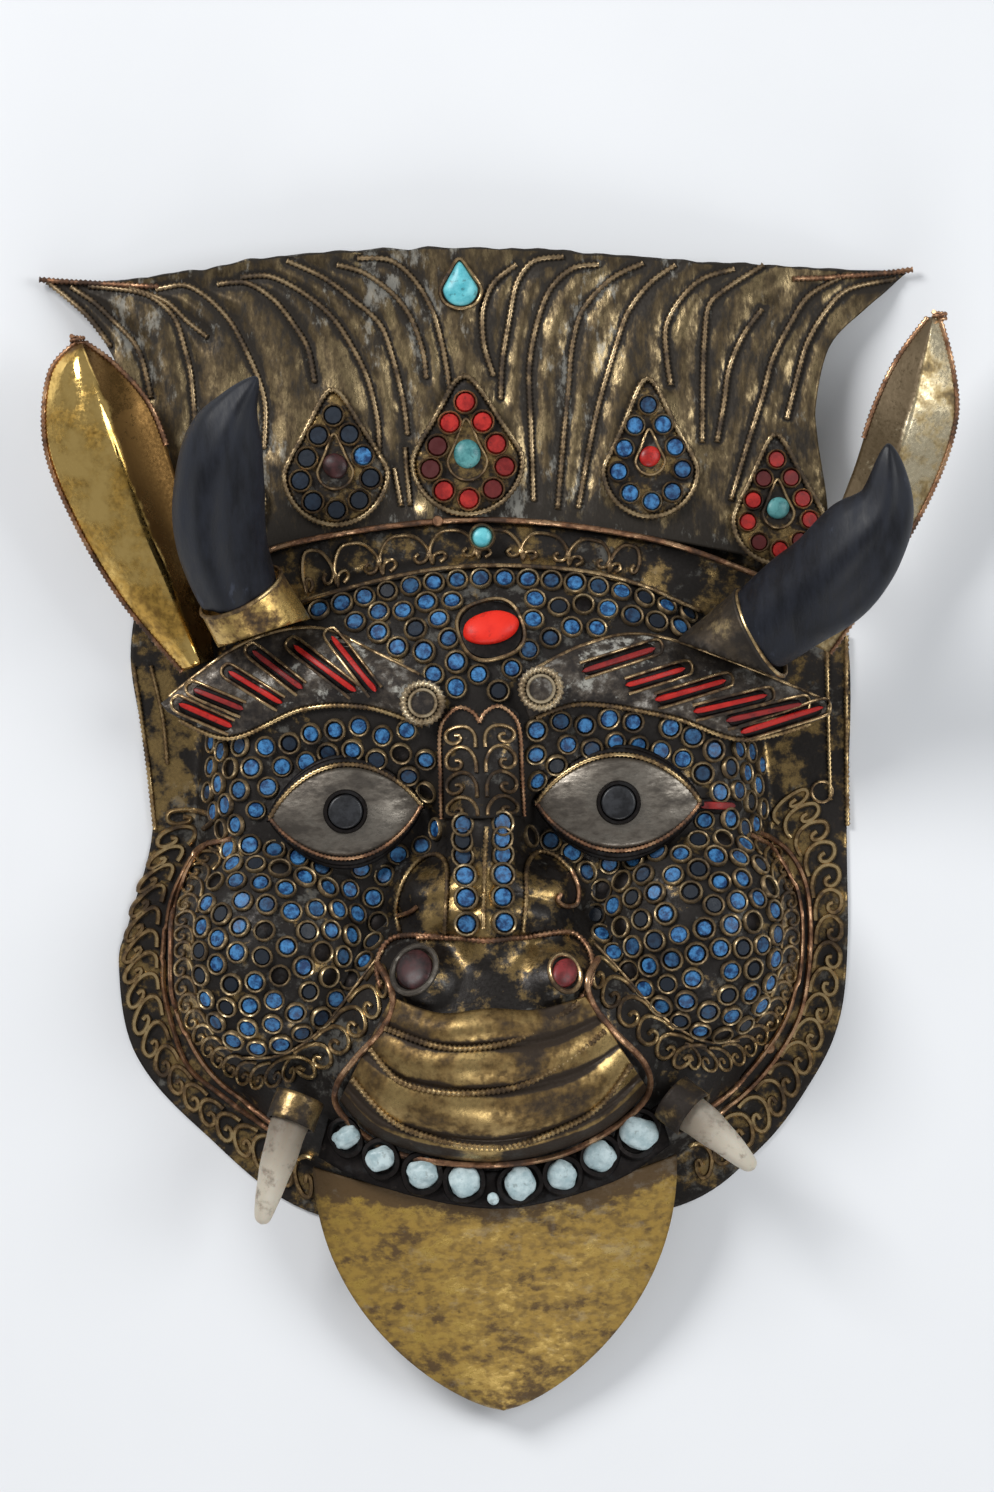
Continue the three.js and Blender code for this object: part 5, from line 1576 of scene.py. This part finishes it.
def buildTeeth():
    c, bezels = toothCut, []
    for k, (x, y, width, height, turn) in enumerate(teeth):
        point, normal = seat(gumHeight, x, y, 0.6)
        bm = bmesh.new()
        bmesh.ops.create_icosphere(bm, subdivisions=4, radius=1)
        for v in bm.verts:
            p, power = v.co, c["squareness"]
            squared = 1 / (abs(p.x) ** power + abs(p.y) ** power + abs(p.z) ** c["squarenessUp"]) ** (1 / power)
            chipped = noise.noise(p * 0.9 + Vector((k * 3.7, 0, 0)))
            chipped += 0.4 * noise.noise(p * 2.3 + Vector((0, k * 2.9, 0)))
            v.co = p * squared * (c["swell"] + c["chipping"] * chipped)
        share = c["widthShare"] / 1000
        bmesh.ops.scale(bm, vec=(width * share, height * share, c["thickness"]), verts=bm.verts)
        bmesh.ops.transform(bm, verts=bm.verts, matrix=Matrix.Translation(place(*point))
                            @ normal.to_track_quat("Z", "Y").to_matrix().to_4x4() @ Matrix.Rotation(turn, 4, "Z"))
        pieceFrom(bm, "toothStone_%d" % (k + 1), "tooth_stone", toothStone, ["tooth_%d" % (k + 1)], 60)
        room = c["bezelRoom"]
        bezels.append(loopOn(x, y, width * 0.5 + room, height * 0.5 + room, turn, 0.8, 2.4, gumHeight))
    x, y, width, height = c["looseChip"]  # a chip lodged under the middle teeth
    setMany("gumChip", "tooth_stone", toothStone, domeShape(0.7),
            [(*seat(gumHeight, x, y, 0.4), width, height, 0.4, 1)])
    wirePiece("toothBezels", "dark_bronze", pitchBlack, bezels, c["bezelWire"])


buildTeeth()

tongue = {"topY": -124, "tipY": -198, "halfWidth": 61.5, "topZ": 35.2, "tipZ": 12, "arch": 3, "rootArch": 11.5,
          "wall": 1.0, "sweep": 0.0012, "warp": 0.8}


def buildTongue():
    t = tongue

    def front(u, v):
        across = 2 * u - 1
        width = t["halfWidth"] * max(1 - v ** 2.1, 0) ** 0.72 + 0.4
        top = t["topY"] + t["rootArch"] * across * across
        x, y = across * width, top + (t["tipY"] - top) * v
        warp = t["warp"] * noise.noise(Vector((x * 0.03, y * 0.03, 5)))
        z = t["topZ"] + (t["tipZ"] - t["topZ"]) * v - t["arch"] * across * across - t["sweep"] * x * x
        return Vector((x, y, z + warp))

    # painted shadow where the tongue comes out from under the teeth, and at its top left corner beside the tusk; the
    # tip is made darker too
    def tongueShadowsAndTip(x, y, u, v):
        root = t["topY"] + t["rootArch"] * (x / t["halfWidth"]) ** 2
        rootShadow = 0.9 * max(1 - (root - y) / 11, 0)
        cornerShadow = max(1 - math.hypot(x + 56, y + 112) / 15, 0) * 1.3
        tipDarkening = 0.3 * max((-170 - y) / 25, 0)
        return min(rootShadow + cornerShadow + tipDarkening, 1.4)
    sheetPiece("tongueSkin", "brass_sheet", tongueBrass, 90, 80, front, t["wall"], ["tongue"], {"stainAndShade": tongueShadowsAndTip})


buildTongue()
print("mouth made")

# ---- tusks, horns and ears

tusks = {
    "left": {"path": [(-66, -90, 36), (-70.5, -101, 38), (-76, -117, 38), (-80, -131, 35)], "base": 6.6},
    "right": {"path": [(62, -94, 36), (68, -99, 38), (78, -108, 40), (88, -118, 37)], "base": 6.8},
    "tip": 2, "taper": 2.6, "roundFrom": 0.93, "ridges": 0.07, "cuffRoom": 1.9, "cuffWall": 1.0,
}
horns = {
    "left": {"path": [(-79.6, 84, 45.5), (-84.7, 102, 56), (-85, 119.5, 66), (-82, 136, 75), (-77.4, 146.4, 80),
                      (-71, 155.4, 84)], "base": 12.8, "swell": 0.25, "taper": 2.6},
    "right": {"path": [(97, 64, 44), (108.7, 73, 52), (121, 82, 61), (132, 94.6, 70), (139.5, 106.5, 77),
                       (141, 125.5, 84)], "base": 13.6, "swell": 0.2, "taper": 4},
    "tip": 0.7, "facets": 0.07, "unevenness": 0.06,
}
collars = {
    "left": {"from": (-70.5, 66.5, 38), "to": (-79.2, 83.5, 45), "wide": 16.2, "narrow": 15.6,
             "cut": ((-72, 69.5), (0.27, -0.963))},
    "right": {"from": (77, 54, 38), "to": (96.5, 63.5, 43.5), "wide": 10.5, "narrow": 16.6,
               "cut": ((80, 57.5), (-0.35, -0.94))},
    "wall": 1.1, "rimWire": 0.8,
}


def buildTusk(side):
    spec = tusks[side]
    path, base = spec["path"], spec["base"]

    def radiusAt(t):
        over = max(t - tusks["roundFrom"], 0) / (1 - tusks["roundFrom"])
        rounding = math.sqrt(max(1 - over ** 2, 0.03))
        return (base + (tusks["tip"] - base) * t ** tusks["taper"]) * rounding

    def ridged(angle, t):
        return 1 + tusks["ridges"] * noise.noise(Vector((math.cos(angle), math.sin(angle), t * 5)))
    obj = loftPiece("tuskBone_" + side, "tusk_bone", tuskBone, path, radiusAt, 24, 44, ["tusk_" + side],
                    shapeAt=ridged)
    start, end = place(*path[0]), place(*path[-1])
    along = obj.data.attributes.new("along", "FLOAT", "POINT")
    along.data.foreach_set("value", [min(max((v.co - start).dot(end - start) / (end - start).length_squared, 0), 1)
                                     for v in obj.data.vertices])
    first, second = Vector(path[0]), Vector(path[1])
    axis = (second - first).normalized()
    cuff = [first - axis * 2, first + axis * 3, first + axis * 8]
    loftPiece("tuskCuff_" + side, "brass_sheet", tuskCuffBrass, cuff, lambda t: base + tusks["cuffRoom"], 32, 6,
              ["tusk_collar_" + side], True, tusks["cuffWall"])


def dented(angle, t):
    return 1 + 0.02 * noise.noise(Vector((math.cos(angle) * 2, math.sin(angle) * 2, t * 2)))


def buildHorn(side):
    spec = horns[side]

    def radiusAt(t):
        swell = 1 + spec["swell"] * math.sin(math.pi * t)
        return horns["tip"] + spec["base"] * (1 - t ** spec["taper"]) * swell

    def carved(angle, t):
        facets = horns["facets"] * abs(math.sin(angle * 2.5 + t * 1.2))
        lump = noise.noise(Vector((math.cos(angle) * 1.4, math.sin(angle) * 1.4, t * 4)))
        return 0.97 + facets + horns["unevenness"] * lump
    loftPiece("hornBody_" + side, "horn_black", hornBlack, spec["path"], radiusAt, 40, 60, ["horn_" + side],
              shapeAt=carved)
    c = collars[side]
    a, d = Vector(c["from"]), Vector(c["to"])
    cuff = [a - (d - a) * 0.15, a.lerp(d, 0.5), d]
    loftPiece("hornCuff_" + side, "brass_sheet", cuffBrass[side], cuff,
              lambda t: c["wide"] + (c["narrow"] - c["wide"]) * t, 56, 14, ["horn_collar_" + side], True,
              collars["wall"], shapeAt=dented, cut=c["cut"])
    axis = (d - a).normalized()
    across = axis.orthogonal().normalized()
    up = axis.cross(across)
    reach = c["narrow"] - 0.4
    rim = [d + across * x + up * y for x, y, _ in circleRun(0, 0, 0, reach)]
    wirePiece("hornCuffRim_" + side, "brass_sheet", wireBrass, [rim], collars["rimWire"])


for side in ("left", "right"):
    buildTusk(side)
    buildHorn(side)

ears = {
    "left": {
        "outer": [(-100.6, 57.5), (-120.7, 83.3), (-135.7, 110.8), (-144.2, 136), (-142, 160), (-132, 171)],
        "inner": [(-89.4, 61.2), (-92, 90), (-99.4, 120.5), (-107.4, 146.8), (-119, 162), (-129.6, 170.6)],
        "ridgeAt": 0.6, "roundness": 0.9, "baseZ": 24, "tipZ": 30, "ridge": 12,
    },
    "right": {
        "outer": [(120, 56), (141.6, 85.1), (157, 111), (165.2, 133), (165, 151), (161, 169)],
        "inner": [(108, 62), (119, 92), (130, 118), (137.4, 138.3), (146, 155), (157, 169)],
        "ridgeAt": 0.55, "roundness": 0.1, "baseZ": 24, "tipZ": 31, "ridge": 10,
    },
}


def earPoint(spec, u, v):
    p = between(spec["outer"], spec["inner"])(u, v)
    fold = v / spec["ridgeAt"] if v < spec["ridgeAt"] else (1 - v) / (1 - spec["ridgeAt"])
    width = max(math.sin(math.pi * min(0.12 + 0.88 * u, 1)), 0) ** 0.6
    z = spec["baseZ"] + (spec["tipZ"] - spec["baseZ"]) * min(u * 1.6, 1)
    tube = math.sin(min(v / spec["ridgeAt"], 1) * math.pi * 0.62) if v < spec["ridgeAt"] else 0.93 * fold ** 1.5
    z += spec["ridge"] * width * (fold * (1 - spec["roundness"]) + tube * spec["roundness"])
    z += 0.7 * noise.noise(Vector((p.x * 0.05, p.y * 0.05, 2)))
    return Vector((p.x, p.y, z))


def earShadeAndDarkTip(side, u, v):
    # the gold is kept on the rolled outer half; the inner half falls back from the ridge and gets painted shade, and
    # the tip is made brown too
    ridge = ears[side]["ridgeAt"]
    inner = min(max((v - ridge) / 0.08 + 0.3, 0), 1)
    tip = min(max((u - 0.84) / 0.1, 0), 1) * 0.7
    if side == "right":
        return 0.05 + tip * 0.3 + 0.75 * inner
    return max(inner * 0.85, tip)


def buildEar(side):
    spec = ears[side]
    sheetPiece("earSkin_" + side, "brass_sheet", earBrass[side], 70, 26, lambda u, v: earPoint(spec, u, v), 1.0,
               ["ear_" + side], {"stainAndShade": lambda x, y, u, v: earShadeAndDarkTip(side, u, v)})
    outer = [earPoint(spec, k / 90, 0) + Vector((0, 0, 0.2)) for k in range(91)]
    inner = [earPoint(spec, k / 90, 1) + Vector((0, 0, 0.2)) for k in range(45, 91)]
    tip = Vector(outer[-1])
    twist = [tip + Vector((2.2 * math.sin(k * 0.5), k * 0.12 - 1.0, 1.6 * math.cos(k * 0.5))) for k in range(24)]
    wirePiece("earBeads_" + side, "brass_sheet", wireCopper, [outer, inner], 1.1, 1.6)
    wirePiece("earTwist_" + side, "brass_sheet", wireCopper, [twist], 0.8, 1.2)


buildEar("left")
buildEar("right")
print("tusks, horns and ears made")

# ---- camera, floor and light

cameraSetup = {"target": (-5.0, 28.2, 30), "distance": 6000, "viewHeight": 507, "roll": -2.0}


def addCamera():
    c = cameraSetup
    data = bpy.data.cameras.new("camera")
    data.lens = data.sensor_width * c["distance"] / c["viewHeight"]
    data.clip_end = 10
    camera = bpy.data.objects.new("camera", data)
    x, y, z = (value / 1000 for value in c["target"])
    camera.location = (x, y, z + c["distance"] / 1000)
    camera.rotation_euler = (0, 0, math.radians(c["roll"]))
    bpy.context.scene.collection.objects.link(camera)
    bpy.context.scene.camera = camera


lights = {  # places and sizes in metres
    "key": {"location": (-1.3, 1.3, 1.5), "size": 1.0, "power": 43},
    "fill": {"location": (1.5, 0.4, 1.4), "size": 1.3, "power": 21, "color": (0.97, 0.99, 1)},
    "low": {"location": (0.2, -1.7, 1.2), "size": 1.3, "power": 13},
}
sky = {"color": (0.92, 0.95, 1, 1), "strength": 0.34}


def addSky():
    world = bpy.data.worlds.new("studio")
    world.use_nodes = True
    background = world.node_tree.nodes["Background"]
    background.inputs["Color"].default_value = sky["color"]
    background.inputs["Strength"].default_value = sky["strength"]
    bpy.context.scene.world = world


def addLight(name, location, size, power, color=(1, 1, 1)):
    data = bpy.data.lights.new(name, "AREA")
    data.shape = "DISK"
    data.size = size
    data.energy = power
    data.color = color
    light = bpy.data.objects.new(name, data)
    light.location = location
    light.rotation_euler = (Vector((0, 0, 0)) - Vector(location)).to_track_quat("-Z", "Y").to_euler()
    bpy.context.scene.collection.objects.link(light)


def addFloor():
    material, tree, shader = startMaterial("floorPaper", Roughness=0.9)
    vector = objectVector(tree)
    cloud = addNoise(tree, 6, 4, 0.6, vector)
    paper = addMix(tree, cloud, (0.68, 0.69, 0.705, 1), (0.74, 0.75, 0.765, 1))
    tree.links.new(paper, shader.inputs["Base Color"])
    bm = bmesh.new()
    bmesh.ops.create_grid(bm, x_segments=1, y_segments=1, size=3)
    mesh = bpy.data.meshes.new("floor")
    bm.to_mesh(mesh)
    bm.free()
    mesh.materials.append(material)
    floor = bpy.data.objects.new("floor", mesh)
    bpy.context.scene.collection.objects.link(floor)


addCamera()
addFloor()
for name, light in lights.items():
    addLight(name, **light)
addSky()
bpy.context.scene.view_settings.view_transform = "Standard"
print("stage set")
